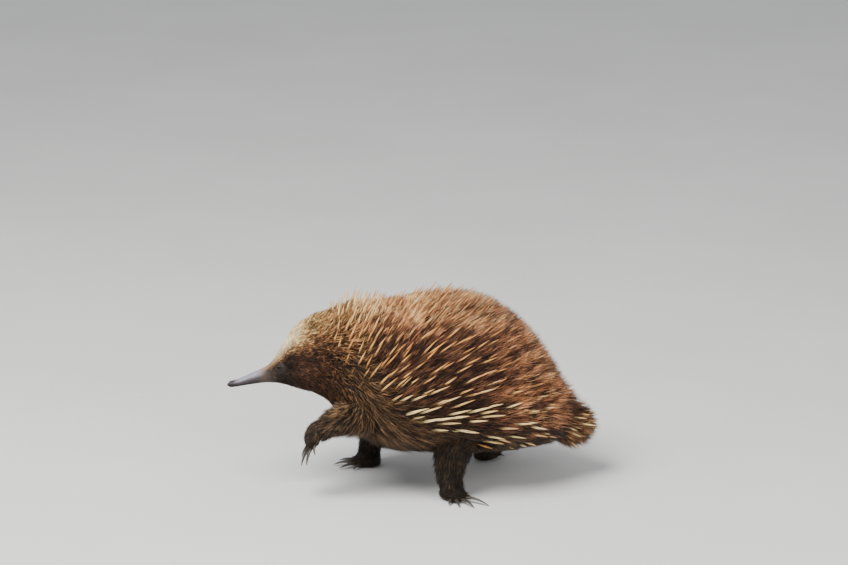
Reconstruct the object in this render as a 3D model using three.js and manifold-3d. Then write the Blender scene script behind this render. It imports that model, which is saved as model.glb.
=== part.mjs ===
// A short-beaked echidna of the long-furred southern form, life size, walking with its left forepaw raised.
// Millimetres, +Z up. The beak points to -X and the animal's left side faces -Y. Three feet stand on z = 0.
import * as THREE from "three";
import { mergeVertices } from "three/addons/utils/BufferGeometryUtils.js";
import Module from "manifold-3d";

const wasm = await Module();
wasm.setup();
const { Manifold } = wasm;

// Driving dimensions
const GAP = 0.3; // clearance between neighbouring pieces
const TAIL_TIP = 0.96; // how nearly the tail's round end closes before its flat tip
const SHORTEST_EDGE = 0.03; // shorter edges, which the cuts leave, are closed up
const CORE_SHARE = 0.36; // how much of the coat's depth the solid core takes
const RING_STEPS = 24; // facets round the trunk
const BEAK_STEPS = 14; // facets round the beak

// Skin sections along the trunk: the height of the back and belly lines, half the width,
// and how deep the coat is on the sides and along the back, out to the tips of its spines.
const SECTIONS = [
  { at: "beak tip", x: -217.4, top: 128.1, bottom: 124.8, half: 2.6, coat: 0, crest: 0 },
  { at: "lips", x: -216, top: 129.7, bottom: 123.8, half: 3.9, coat: 0, crest: 0 },
  { at: "nostrils", x: -211, top: 131.2, bottom: 123.6, half: 4.9, coat: 0, crest: 0 },
  { at: "beak narrows", x: -204, top: 133.5, bottom: 124.4, half: 5.0, coat: 0, crest: 0 },
  { at: "beak middle", x: -190, top: 139.6, bottom: 126.3, half: 6.2, coat: 0, crest: 0 },
  { at: "beak root", x: -176, top: 145.2, bottom: 128.0, half: 8.6, coat: 0.2, crest: 0.2 },
  { at: "brow foot", x: -168, top: 150.2, bottom: 128.4, half: 11.4, coat: 1.0, crest: 1.0 },
  { at: "eyes", x: -158, top: 162.2, bottom: 128.0, half: 16.8, coat: 2.0, crest: 2.2 },
  { at: "forehead", x: -145, top: 183.8, bottom: 125.0, half: 24.5, coat: 3.2, crest: 3.6 },
  { at: "upper forehead", x: -133, top: 196.6, bottom: 122.1, half: 31.5, coat: 4.2, crest: 5.0 },
  { at: "crown", x: -118, top: 203.4, bottom: 117.7, half: 40, coat: 6, crest: 7 },
  { at: "nape", x: -100, top: 205.1, bottom: 109.0, half: 50, coat: 9, crest: 11 },
  { at: "neck root", x: -84, top: 206.0, bottom: 93.0, half: 60, coat: 12, crest: 20 },
  { at: "shoulders", x: -62, top: 208.6, bottom: 69.0, half: 73, coat: 15, crest: 21 },
  { at: "withers", x: -38, top: 209.4, bottom: 56.0, half: 82, coat: 17, crest: 20 },
  { at: "ribs", x: 0, top: 212.4, bottom: 49.5, half: 89, coat: 18, crest: 23 },
  { at: "top of the back", x: 36, top: 215.4, bottom: 47.0, half: 91, coat: 18, crest: 25 },
  { at: "loins", x: 74, top: 207.4, bottom: 45.5, half: 88, coat: 18, crest: 26 },
  { at: "hips", x: 100, top: 191.6, bottom: 46.0, half: 81, coat: 18, crest: 27 },
  { at: "rump", x: 120, top: 173.0, bottom: 47.5, half: 71, coat: 19, crest: 28 },
  { at: "rump foot", x: 138, top: 150.4, bottom: 49.0, half: 58, coat: 20, crest: 28 },
  { at: "over the tail", x: 152, top: 127.0, bottom: 51.5, half: 43, coat: 20, crest: 28 },
  { at: "tail root", x: 162, top: 107.0, bottom: 55.5, half: 29, coat: 20, crest: 26 },
  { at: "under the tail", x: 168, top: 93.0, bottom: 63.0, half: 16, coat: 20, crest: 24 },
];
const WIDEST = 0.44; // height of the widest level, as a share of the section
const SQUARENESS = 0.92; // 1 is an ellipse, and less is squarer
const BELLY_THINNER = 0.5; // the share that the coat loses under the belly
const TRUNK_END = 168;
const TRUNK_RINGS = 24;
const LID = 1.3; // thickness of the lids' rim

// Where the trunk is parted into nodes
const HEAD_FROM = -172;
const NECK_FROM = -117;
const TRUNK_FROM = -88;
const RUMP_FROM = 62;

// The lie of the spines and the coat
const SPINE_FOCUS = new THREE.Vector3(-120, 0, 39); // spines point away from here
const HAIR_FOCUS = new THREE.Vector3(-138, 0, 155); // the fur of neck and shoulder points away from here
const HAIR_LEAN = 0.42; // how far the fur stands off the skin
const LOW_DROOP = 0.95; // how much the lowest spines sink
const DROOP_BELOW = 116; // height under which they start to
const SPINED_FROM = [
  // the lower edge of the spined back
  { x: -94, z: 216 },
  { x: -73, z: 186 },
  { x: -61, z: 155 },
  { x: -43, z: 125 },
  { x: -19, z: 101 },
  { x: 35, z: 87 },
  { x: 83, z: 68 },
  { x: 130, z: 54 },
  { x: 180, z: 47 },
];
const NECK_LOCKS = { longest: 30, width: 15, thick: 2.3, bend: 0.08 };
const BACK_LOCKS = { longest: 46, width: 21, thick: 2.6, bend: 0.03 };
const SIDE_LOCKS = { longest: 42, width: 18, thick: 2.8, bend: 0.1 };
const TAIL_LOCKS = { width: 14, thick: 2.4, bend: 0.05 };
const SPINE_PITCH = 24.8;
const SPINE_LENGTH = 46;
const SPINE_RADIUS = 2.0;
const CREST_LONGER = 9; // how much longer the spines behind the nape are
const BACK_LOCK_PITCH = 29;
const SIDE_LOCK_PITCH = 22;
const NECK_LOCK_PITCH = 25;
const LOCK_BROADEST = 0.42; // where along its length a lock is broadest
const ROOT_SINK = 4;
const ROOM = 1.5; // how far a piece keeps off a limb's or the tail's own room

const TAIL = { root: [146, 0, 79], tip: [198, 0, 65], radius: 18, coat: 16 };
const TAIL_ROWS = [
  { at: 0.5, wide: 1, count: 8, fan: 0.55, reach: 1.9 },
  { at: 0.72, wide: 0.95, count: 9, fan: 0.5, reach: 2.0 },
  { at: 0.88, wide: 0.8, count: 8, fan: 0.42, reach: 1.9 },
  { at: 0.98, wide: 0.45, count: 5, fan: 0.3, reach: 1.7 },
];
const EYE = { x: -156.5, z: 150, radius: 4.3, set: 1.9 };
const EAR = { x: -128, z: 160, height: 17, width: 8, rim: 1.5, depth: 4 };
const MOUTH = { length: 13, gape: 0.7, z: 126.1 };
const NOSTRIL = { x: -212, y: 2.1, length: 1.9, width: 0.9, depth: 1.4 };

// Each limb runs through shoulder or hip, elbow or knee, and wrist or ankle to the middle of its foot.
// heading turns the toes from -X towards the outer side, and pitch tips them down, in degrees.
const LIMBS = [
  {
    name: "leg_fore_left",
    side: -1,
    path: [[-48, 44, 112], [-67, 62, 104], [-99, 60, 93], [-112, 56, 82]],
    radii: [25, 20, 15.5, 12],
    heading: 6,
    pitch: 58,
    foot: "fore",
  },
  {
    name: "leg_fore_right",
    side: 1,
    path: [[-40, 40, 102], [-38, 60, 66], [-42, 64, 32], [-46, 62, 12]],
    radii: [25, 19, 15, 13.5],
    heading: 4,
    pitch: 0,
    foot: "fore",
  },
  {
    name: "leg_hind_left",
    side: -1,
    path: [[68, 44, 96], [44, 64, 60], [38, 74, 31], [41, 76, 12]],
    radii: [31, 22, 16, 13.5],
    heading: 122,
    pitch: 0,
    foot: "hind",
  },
  {
    name: "leg_hind_right",
    side: 1,
    path: [[88, 44, 96], [83, 62, 60], [94, 71, 31], [99, 73, 12]],
    radii: [31, 22, 16, 13.5],
    heading: 130,
    pitch: 0,
    foot: "hind",
  },
];
const FEET = {
  fore: {
    palm: [15.5, 15, 12],
    toes: [
      { turn: -52, reach: 15, claw: 15, wide: 2.6 },
      { turn: -25, reach: 18, claw: 21, wide: 3.1 },
      { turn: 0, reach: 19, claw: 23, wide: 3.3 },
      { turn: 25, reach: 18, claw: 21, wide: 3.1 },
      { turn: 50, reach: 15, claw: 14, wide: 2.6 },
    ],
    toeRadius: 4.4,
    curl: 0.16,
  },
  hind: {
    palm: [16.5, 13, 12],
    toes: [
      { turn: -48, reach: 15, claw: 9, wide: 2.4 },
      { turn: -20, reach: 17, claw: 34, wide: 2.7 },
      { turn: 2, reach: 18, claw: 26, wide: 2.5 },
      { turn: 24, reach: 17, claw: 17, wide: 2.3 },
      { turn: 46, reach: 15.5, claw: 12, wide: 2.1 },
    ],
    toeRadius: 4.2,
    curl: 0.22,
  },
};
const CLAW_RISE = 4.6; // height of the claws' roots over the sole
const SOLE_SINK = 1.8; // how much of the palm the flat sole cuts away

const material = (color, roughness) =>
  new THREE.MeshStandardMaterial({ color, roughness, metalness: 0 });
const BEAK_SKIN = material(0x74706f, 0.55);
const FACE_FUR = material(0x6a4a34, 0.9);
const NECK_FUR = material(0x4e3523, 0.95);
const BACK_COAT = material(0x7d5236, 0.9);
const LEG_FUR = material(0x33281d, 0.95);
const EYE_GLOSS = material(0x0d0a08, 0.1);
const CLAW_HORN = material(0x2f2a26, 0.4);

// A seeded draw, so that each run gives the same animal
let drawState = 20417;
function draw(low, high) {
  drawState = (drawState * 1664525 + 1013904223) % 4294967296;
  return low + ((high - low) * drawState) / 4294967296;
}

// A closed body as a solid. Its faces are turned out if they point in.
function solidOf(geometry) {
  const bare = geometry.index ? geometry.toNonIndexed() : geometry.clone();
  bare.deleteAttribute("normal");
  bare.deleteAttribute("uv");
  const merged = mergeVertices(bare, 1e-4);
  const build = (flip) => {
    const triVerts = new Uint32Array(merged.index.array);
    for (let i = 0; flip && i < triVerts.length; i += 3) {
      [triVerts[i + 1], triVerts[i + 2]] = [triVerts[i + 2], triVerts[i + 1]];
    }
    const vertProperties = merged.attributes.position.array;
    return new Manifold(new wasm.Mesh({ numProp: 3, vertProperties, triVerts }));
  };
  const made = build(false);
  return made.volume() < 0 ? build(true) : made;
}

// Rings of points joined into a tube, closed by a fan to first and last.
function loft(rings, first, last) {
  const count = rings[0].length;
  const points = [first, ...rings.flat(), last];
  const end = points.length - 1;
  const faces = [];
  for (let j = 0; j < count; j++) {
    const k = (j + 1) % count;
    faces.push(0, 1 + k, 1 + j);
    faces.push(end, end - count + j, end - count + k);
    for (let i = 0; i + 1 < rings.length; i++) {
      const a = 1 + i * count;
      const b = a + count;
      faces.push(a + j, a + k, b + k, a + j, b + k, b + j);
    }
  }
  const geometry = new THREE.BufferGeometry().setFromPoints(points);
  geometry.setIndex(faces);
  return solidOf(geometry);
}

const middle = (ring) =>
  ring.reduce((sum, p) => sum.add(p), new THREE.Vector3()).divideScalar(ring.length);

// A curve through the named values of a table
function curveOf(rows, across, up) {
  const positions = rows.map((row) => row[across]);
  const values = rows.map((row) => row[up]);
  const interpolant = new THREE.CubicInterpolant(positions, values, 1);
  return (at) => interpolant.evaluate(THREE.MathUtils.clamp(at, positions[0], positions.at(-1)))[0];
}
const topAt = curveOf(SECTIONS, "x", "top");
const bottomAt = curveOf(SECTIONS, "x", "bottom");
const halfAt = curveOf(SECTIONS, "x", "half");
const coatAt = curveOf(SECTIONS, "x", "coat");
const crestAt = curveOf(SECTIONS, "x", "crest");
const spinedFromAt = curveOf(SPINED_FROM, "x", "z");

// A point of the trunk's skin. turn goes round from the back line: a quarter turn is the right side.
function skinPoint(x, turn) {
  const top = topAt(x);
  const bottom = bottomAt(x);
  const level = bottom + (top - bottom) * WIDEST;
  const out = Math.sin(turn);
  const up = Math.cos(turn);
  const rise = Math.sign(up) * Math.abs(up) ** SQUARENESS;
  const y = halfAt(x) * Math.sign(out) * Math.abs(out) ** SQUARENESS;
  return new THREE.Vector3(x, y, level + rise * (up > 0 ? top - level : level - bottom));
}

function skinNormal(x, turn) {
  const step = 0.6;
  const along = skinPoint(x + step, turn).sub(skinPoint(x - step, turn));
  const round = skinPoint(x, turn + 0.02).sub(skinPoint(x, turn - 0.02));
  return along.cross(round).normalize();
}

// The coat is deepest along the back, and thin on the belly.
function coatDepth(x, turn) {
  const up = Math.cos(turn);
  const belly = THREE.MathUtils.smoothstep(-up, 0.1, 0.9);
  const back = THREE.MathUtils.smoothstep(up, 0.1, 0.8);
  return THREE.MathUtils.lerp(coatAt(x), crestAt(x), back) * (1 - BELLY_THINNER * belly);
}

function trunkRing(x, share, steps) {
  const ring = [];
  for (let j = 0; j < steps; j++) {
    const turn = ((j + 0.5) / steps) * 2 * Math.PI;
    const lift = coatDepth(x, turn) * share;
    ring.push(skinPoint(x, turn).addScaledVector(skinNormal(x, turn), lift));
  }
  return ring;
}

function trunkBody(from, to, rings, share, steps, extra = 0) {
  const made = [];
  for (let i = 0; i <= rings; i++) {
    const x = from + ((to - from) * i) / rings;
    const ring = trunkRing(x, share, steps);
    if (extra) {
      ring.forEach((p, j) => {
        const turn = ((j + 0.5) / steps) * 2 * Math.PI;
        p.addScaledVector(skinNormal(x, turn), extra);
      });
    }
    made.push(ring);
  }
  return loft(made, middle(made[0]), middle(made.at(-1)));
}

// A block that spans everything between two places along the trunk
const FAR = 500;
const COAT_REACH = 90;
function slab(from, to) {
  const box = new THREE.BoxGeometry(to - from, FAR, FAR);
  return solidOf(box.translate((from + to) / 2, 0, 0));
}

// Everything behind a ring of the skin. Outside the skin its border follows the lie of the coat.
function behind(x) {
  const skin = trunkRing(x, 0, RING_STEPS);
  const outer = skin.map((p, j) => {
    const normal = skinNormal(x, ((j + 0.5) / RING_STEPS) * 2 * Math.PI);
    return p.clone().addScaledVector(lieAt(p, normal, isSpined(p)), COAT_REACH);
  });
  const back = outer.map((p) => new THREE.Vector3(FAR, p.y * 3, p.z * 3 - FAR / 2));
  return loft([skin, outer, back], middle(skin), middle(back));
}

const isSpined = (point) => point.z > spinedFromAt(point.x);

// The way that spines or fur point at a place on the trunk
function lieAt(point, normal, spined) {
  if (spined) {
    const lie = point.clone().sub(SPINE_FOCUS).normalize();
    const low = THREE.MathUtils.clamp((DROOP_BELOW - point.z) / DROOP_BELOW, 0, 1);
    lie.z -= LOW_DROOP * low;
    return lie.normalize();
  }
  const lie = point.clone().sub(HAIR_FOCUS).normalize();
  lie.addScaledVector(normal, -lie.dot(normal)).normalize();
  return lie.addScaledVector(normal, HAIR_LEAN).normalize();
}

// A tapered spine of three sides, sunk into the skin at its root
function spine(root, lie, length, radius) {
  const side = new THREE.Vector3(0, 0, 1).cross(lie).normalize();
  const over = lie.clone().cross(side);
  const ringAt = (along, r) =>
    [0, 1, 2].map((k) => {
      const a = (k * 2 * Math.PI) / 3 + 0.5;
      return root
        .clone()
        .addScaledVector(lie, along)
        .addScaledVector(side, Math.cos(a) * r)
        .addScaledVector(over, Math.sin(a) * r);
    });
  const start = ringAt(-ROOT_SINK, radius * 0.8);
  const tip = root.clone().addScaledVector(lie, length);
  return loft([start, ringAt(length * 0.45, radius)], middle(start), tip);
}

// A flat tapered lock with a ridge, bent towards its skin at the tip
function lock(root, lie, normal, length, width, thick, bend) {
  const side = lie.clone().cross(normal).normalize();
  const over = side.clone().cross(lie).normalize();
  const ringAt = (along, broad, high) => {
    const centre = root.clone().addScaledVector(lie, along);
    return [
      centre.clone().addScaledVector(side, broad / 2),
      centre.clone().addScaledVector(over, high),
      centre.clone().addScaledVector(side, -broad / 2),
    ];
  };
  const start = ringAt(-ROOT_SINK, width * 0.7, thick);
  const broadest = ringAt(length * LOCK_BROADEST, width, thick);
  const tip = root.clone().addScaledVector(lie, length).addScaledVector(over, -bend * length);
  return loft([start, broadest], middle(start), tip);
}

// Places over the trunk at a given pitch, in staggered rows
function placesOverTrunk(pitch, from, to, wanted) {
  const places = [];
  const rows = Math.round((to - from) / (pitch * 0.86));
  for (let i = 0; i <= rows; i++) {
    const x = from + ((to - from) * i) / rows;
    const girth = trunkRing(x, 0, RING_STEPS);
    const round = girth.reduce((sum, p, j) => sum + p.distanceTo(girth[(j + 1) % RING_STEPS]), 0);
    const count = Math.round(round / pitch);
    for (let j = 0; j < count; j++) {
      const turn = ((j + (i % 2 ? 0.5 : 0) + draw(-0.16, 0.16)) / count) * 2 * Math.PI;
      const at = x + draw(-0.16, 0.16) * pitch;
      const point = skinPoint(at, turn);
      const normal = skinNormal(at, turn);
      if (wanted(point, normal, at)) {
        places.push({ point, normal, x: at, turn });
      }
    }
  }
  return places;
}

// The tail is a short blunt stub.
function tailStub(extra = 0) {
  const root = new THREE.Vector3(...TAIL.root);
  const along = new THREE.Vector3(...TAIL.tip).sub(root);
  const side = new THREE.Vector3(0, 1, 0);
  const over = along.clone().cross(side).normalize();
  const coat = TAIL.coat * CORE_SHARE + extra;
  const reach = 1 + coat / along.length();
  const rings = [];
  for (let i = 0; i <= 6; i++) {
    const s = i / 6;
    const r = (TAIL.radius + coat) * Math.sqrt(1 - (s * TAIL_TIP) ** 4);
    rings.push(
      Array.from({ length: 14 }, (_, k) => {
        const a = (k / 14) * 2 * Math.PI;
        return root
          .clone()
          .addScaledVector(along, s * reach)
          .addScaledVector(side, Math.cos(a) * r)
          .addScaledVector(over, Math.sin(a) * r);
      }),
    );
  }
  return loft(rings, middle(rings[0]), middle(rings.at(-1)));
}

// A limb as a tube through its joints, with rings across the path
function limbTube(limb, extra = 0) {
  const joints = limb.path.map(([x, y, z]) => new THREE.Vector3(x, limb.side * y, z));
  const curve = new THREE.CatmullRomCurve3(joints, false, "centripetal");
  const radiusAt = new THREE.CubicInterpolant([0, 1, 2, 3], limb.radii, 1);
  const rings = [];
  const steps = 7;
  const sides = 12;
  for (let i = 0; i <= steps; i++) {
    const s = i / steps;
    const centre = curve.getPoint(s);
    const along = curve.getTangent(s);
    const across = new THREE.Vector3(0, 1, 0);
    across.addScaledVector(along, -across.dot(along)).normalize();
    const over = along.clone().cross(across);
    const r = radiusAt.evaluate(s * 3)[0] + extra;
    rings.push(
      Array.from({ length: sides }, (_, k) => {
        const a = (k / sides) * 2 * Math.PI;
        return centre
          .clone()
          .addScaledVector(across, Math.cos(a) * r)
          .addScaledVector(over, Math.sin(a) * r);
      }),
    );
  }
  return loft(rings, middle(rings[0]), middle(rings.at(-1)));
}

// The frame of a foot: its own +X runs along the middle toe, and z = 0 is the sole.
function footFrame(limb) {
  const [x, y, z] = limb.path.at(-1);
  const heading = limb.side * THREE.MathUtils.degToRad(limb.heading);
  const pitch = THREE.MathUtils.degToRad(limb.pitch);
  const turned = new THREE.Matrix4().makeRotationZ(Math.PI - heading);
  const tipped = new THREE.Matrix4().makeRotationY(pitch);
  const place = new THREE.Matrix4().makeTranslation(x, limb.side * y, limb.pitch ? z - 6 : 0);
  return place.multiply(turned).multiply(tipped);
}

function toeDirection(turn, side) {
  const a = THREE.MathUtils.degToRad(turn) * side;
  return new THREE.Vector3(Math.cos(a), Math.sin(a), 0);
}

function toe(foot, digit, side) {
  const out = toeDirection(digit.turn, side);
  const across = new THREE.Vector3(-out.y, out.x, 0);
  const rings = [
    { along: 2, r: foot.toeRadius },
    { along: digit.reach - 3, r: foot.toeRadius },
    { along: digit.reach, r: foot.toeRadius * 0.8 },
  ].map(({ along, r }) =>
    Array.from({ length: 6 }, (_, k) => {
      const a = ((k + 0.5) / 6) * 2 * Math.PI;
      return out
        .clone()
        .multiplyScalar(along)
        .addScaledVector(across, Math.cos(a) * r)
        .add(new THREE.Vector3(0, 0, CLAW_RISE + Math.sin(a) * r));
    }),
  );
  return loft(rings, middle(rings[0]), middle(rings.at(-1)));
}

// A claw: broad and flattened, arched along its length, blunt at the tip
function claw(foot, digit, side) {
  const out = toeDirection(digit.turn, side);
  const across = new THREE.Vector3(-out.y, out.x, 0);
  const steps = 3;
  const sides = 6;
  const start = digit.reach + GAP;
  const rings = [];
  for (let i = 0; i <= steps; i++) {
    const s = i / steps;
    const wide = digit.wide * (1 - 0.62 * s ** 1.6);
    const tall = digit.wide * 0.72 * (1 - 0.7 * s ** 1.3);
    const arch = digit.claw * foot.curl * (s - s * s * 1.15);
    const lower = s * s * (CLAW_RISE - 1.9);
    rings.push(
      Array.from({ length: sides }, (_, k) => {
        const a = ((k + 0.5) / sides) * 2 * Math.PI;
        return out
          .clone()
          .multiplyScalar(start + digit.claw * s * (i ? 1 : 0))
          .addScaledVector(across, Math.cos(a) * wide)
          .add(new THREE.Vector3(0, 0, CLAW_RISE + arch - lower + Math.sin(a) * tall));
      }),
    );
  }
  return loft(rings, middle(rings[0]), middle(rings.at(-1)));
}

function ball(radius, centre, scale = [1, 1, 1], across = 12, down = 8) {
  const sphere = new THREE.SphereGeometry(radius, across, down);
  return solidOf(sphere.scale(...scale).translate(centre.x, centre.y, centre.z));
}

// Keeps a node's largest closed body.
function largest(solid) {
  const bodies = solid.decompose();
  return bodies.sort((a, b) => b.volume() - a.volume())[0];
}

function meshOf(name, solid, look) {
  const cleaned = largest(solid.simplify(SHORTEST_EDGE));
  const { numProp, numVert, vertProperties, triVerts } = cleaned.getMesh();
  const positions = new Float32Array(numVert * 3);
  for (let i = 0; i < numVert; i++) {
    positions.set(vertProperties.subarray(i * numProp, i * numProp + 3), i * 3);
  }
  const geometry = new THREE.BufferGeometry();
  geometry.setAttribute("position", new THREE.BufferAttribute(positions, 3));
  geometry.setIndex(new THREE.BufferAttribute(triVerts, 1));
  geometry.computeVertexNormals();
  const mesh = new THREE.Mesh(geometry, look);
  mesh.name = name;
  return mesh;
}

const echidna = new THREE.Group();
const trunkCore = trunkBody(HEAD_FROM - 4, TRUNK_END, TRUNK_RINGS, CORE_SHARE, RING_STEPS);
const trunkClear = trunkBody(HEAD_FROM - 4, TRUNK_END, TRUNK_RINGS, CORE_SHARE, RING_STEPS, GAP);

function limbAxis(limb) {
  const joints = limb.path.map(([x, y, z]) => new THREE.Vector3(x, limb.side * y, z));
  return new THREE.CatmullRomCurve3(joints, false, "centripetal").getPoints(12);
}

const LIMB_ROOMS = LIMBS.map((limb) => {
  const axis = limbAxis(limb);
  return axis.map((at, i) => ({ at, radius: limb.radii[Math.round((i / 12) * 3)] }));
});
const TAIL_ROOM = [0.75, 0.9, 1].map((s) => ({
  at: new THREE.Vector3(...TAIL.root).lerp(new THREE.Vector3(...TAIL.tip), s),
  radius: TAIL.radius + TAIL.coat,
}));
const ROOMS = [...LIMB_ROOMS, TAIL_ROOM].flat();

// True where a spine or lock would run into a limb or the tail's fan
function meetsOther(root, lie, length) {
  const places = [0.4, 0.7, 1].map((s) => root.clone().addScaledVector(lie, length * s));
  return ROOMS.some(({ at, radius }) => places.some((p) => p.distanceTo(at) < radius + ROOM));
}

// Spines and locks end at the coat's outer depth, or sooner where they lie flat.
function pieceLength(point, normal, lie, x, turn, longest) {
  const rise = Math.max(lie.dot(normal), 0.34);
  return Math.min(longest, coatDepth(x, turn) / rise) * draw(0.92, 1.08);
}

// 1 on the crest behind the nape, 0 on the flanks and farther back
function onCrest(x, turn) {
  const behindNape = 1 - THREE.MathUtils.smoothstep(x, -66, -30);
  return behindNape * THREE.MathUtils.smoothstep(Math.cos(turn), 0.1, 0.6);
}

function trunkSpines(from, to) {
  return placesOverTrunk(SPINE_PITCH, from, to, isSpined).flatMap(({ point, normal, x, turn }) => {
    const lie = lieAt(point, normal, true);
    const length = pieceLength(point, normal, lie, x, turn, SPINE_LENGTH) + CREST_LONGER * onCrest(x, turn);
    const radius = SPINE_RADIUS * draw(0.85, 1.1);
    return meetsOther(point, lie, length) ? [] : [spine(point, lie, length, radius)];
  });
}

function trunkLocks(pitch, from, to, wanted, spined, size) {
  return placesOverTrunk(pitch, from, to, wanted).flatMap(({ point, normal, x, turn }) => {
    const lie = lieAt(point, normal, spined);
    const length = pieceLength(point, normal, lie, x, turn, size.longest);
    if (meetsOther(point, lie, length)) {
      return [];
    }
    return [lock(point, lie, normal, length, size.width * draw(0.9, 1.1), size.thick, size.bend)];
  });
}

function addBeak() {
  const body = trunkBody(-217.4, HEAD_FROM - GAP, 11, 0, BEAK_STEPS);
  const slit = new THREE.BoxGeometry(MOUTH.length, FAR, MOUTH.gape);
  const cuts = [solidOf(slit.translate(-217.4 + MOUTH.length / 2, 0, MOUTH.z))];
  for (const side of [-1, 1]) {
    const at = new THREE.Vector3(NOSTRIL.x, side * NOSTRIL.y, topAt(NOSTRIL.x) - 0.6);
    cuts.push(ball(1, at, [NOSTRIL.length, NOSTRIL.width, NOSTRIL.depth], 10, 6));
  }
  echidna.add(meshOf("beak", Manifold.difference([body, ...cuts]), BEAK_SKIN));
}

// The turn, on one side, at which a section's skin passes a height above its widest level
function turnAt(x, z) {
  const level = bottomAt(x) + (topAt(x) - bottomAt(x)) * WIDEST;
  const rise = (z - level) / (topAt(x) - level);
  return Math.acos(rise ** (1 / SQUARENESS));
}

function faceFeature(spot, side) {
  const turn = side * turnAt(spot.x, spot.z);
  const normal = skinNormal(spot.x, turn);
  const lift = coatDepth(spot.x, turn) * CORE_SHARE;
  return { at: skinPoint(spot.x, turn).addScaledVector(normal, lift), normal };
}

const FACING = new THREE.Vector3(0, 0, 1);
const turnTo = (normal) => new THREE.Quaternion().setFromUnitVectors(FACING, normal);

// The ear is an upright slit with a low rim, hidden in the fur behind the cheek.
function earForms(side) {
  const { at, normal } = faceFeature(EAR, side);
  const rim = new THREE.TorusGeometry(1, EAR.rim / EAR.width, 4, 8);
  rim.scale(EAR.width / 2, EAR.height / 2, EAR.width / 2);
  const pit = new THREE.SphereGeometry(1, 8, 4);
  pit.scale(EAR.width / 2 - 0.6, EAR.height / 2 - 0.6, EAR.depth);
  const upright = new THREE.Quaternion().setFromAxisAngle(FACING, Math.PI / 2);
  const placed = [rim, pit].map((form) =>
    solidOf(form.applyQuaternion(upright).applyQuaternion(turnTo(normal)).translate(at.x, at.y, at.z)),
  );
  return { rim: placed[0], pit: placed[1] };
}

// Each eye is a ball set in its socket, with a rim of lids round it.
function eyeForms(side) {
  const { at, normal } = faceFeature(EYE, side);
  const centre = at.clone().addScaledVector(normal, -EYE.set);
  const rim = new THREE.TorusGeometry(EYE.radius + 0.4, LID, 4, 10);
  rim.applyQuaternion(turnTo(normal));
  const rimAt = centre.clone().addScaledVector(normal, EYE.set - 0.2);
  return {
    ball: ball(EYE.radius, centre),
    socket: ball(EYE.radius + GAP, centre),
    lids: solidOf(rim.translate(rimAt.x, rimAt.y, rimAt.z)),
  };
}

function addHead() {
  const block = slab(HEAD_FROM, FAR).subtract(behind(NECK_FROM - GAP / 2));
  const eyes = [-1, 1].map(eyeForms);
  const ears = [-1, 1].map(earForms);
  echidna.add(meshOf("eye_left", eyes[0].ball, EYE_GLOSS));
  echidna.add(meshOf("eye_right", eyes[1].ball, EYE_GLOSS));
  const added = [...eyes.map((eye) => eye.lids), ...ears.map((ear) => ear.rim)];
  const cuts = [...eyes.map((eye) => eye.socket), ...ears.map((ear) => ear.pit)];
  const whole = Manifold.union([trunkCore, ...added]).intersect(block);
  echidna.add(meshOf("head", Manifold.difference([whole, ...cuts]), FACE_FUR));
}

function addNeck() {
  const block = behind(NECK_FROM + GAP / 2).subtract(behind(TRUNK_FROM - GAP / 2));
  const locks = trunkLocks(NECK_LOCK_PITCH, NECK_FROM + 4, TRUNK_FROM - 9, () => true, false, NECK_LOCKS);
  const whole = Manifold.union([trunkCore, ...locks]);
  echidna.add(meshOf("neck", whole.intersect(block), NECK_FUR));
}

function addTrunk() {
  const front = behind(TRUNK_FROM + GAP / 2);
  const bareOfSpines = (point, normal) => !isSpined(point) && normal.z > -0.8;
  const pieces = {
    spines: trunkSpines(TRUNK_FROM + 6, 170),
    back: trunkLocks(BACK_LOCK_PITCH, TRUNK_FROM + 8, 168, isSpined, true, BACK_LOCKS),
    side: trunkLocks(SIDE_LOCK_PITCH, TRUNK_FROM + 5, 150, bareOfSpines, false, SIDE_LOCKS),
  };
  const coat = Manifold.union([...pieces.spines, ...pieces.back, ...pieces.side]);
  const limbs = LIMBS.map((limb) => limbTube(limb, GAP));
  const clear = Manifold.union([...limbs, tailStub(GAP)]);
  const whole = trunkCore.add(coat.subtract(clear)).intersect(front);
  echidna.add(meshOf("trunk_front", whole.subtract(behind(RUMP_FROM - GAP / 2)), BACK_COAT));
  echidna.add(meshOf("trunk_rear", whole.intersect(behind(RUMP_FROM + GAP / 2)), BACK_COAT));
}

// Spines and locks fan out from the stub, round to its end.
function tailPieces() {
  const root = new THREE.Vector3(...TAIL.root);
  const tip = new THREE.Vector3(...TAIL.tip);
  const along = tip.clone().sub(root).normalize();
  const side = new THREE.Vector3(0, 1, 0);
  const over = along.clone().cross(side);
  const made = [];
  for (const row of TAIL_ROWS) {
    for (let j = 0; j < row.count; j++) {
      const a = ((j + draw(-0.15, 0.15)) / row.count) * 2 * Math.PI;
      const out = side.clone().multiplyScalar(Math.cos(a)).addScaledVector(over, Math.sin(a));
      const at = root.clone().lerp(tip, row.at).addScaledVector(out, TAIL.radius * row.wide);
      const lie = along.clone().multiplyScalar(Math.cos(row.fan)).addScaledVector(out, Math.sin(row.fan));
      const length = TAIL.coat * row.reach * draw(0.9, 1.1);
      const isLock = j % 3 === 0;
      const { width, thick, bend } = TAIL_LOCKS;
      made.push(isLock ? lock(at, lie, out, length, width, thick, bend) : spine(at, lie, length, SPINE_RADIUS));
    }
  }
  return made;
}

function addTail() {
  const whole = Manifold.union([tailStub(), ...tailPieces()]).subtract(trunkClear);
  echidna.add(meshOf("tail", whole, BACK_COAT));
}

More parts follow.
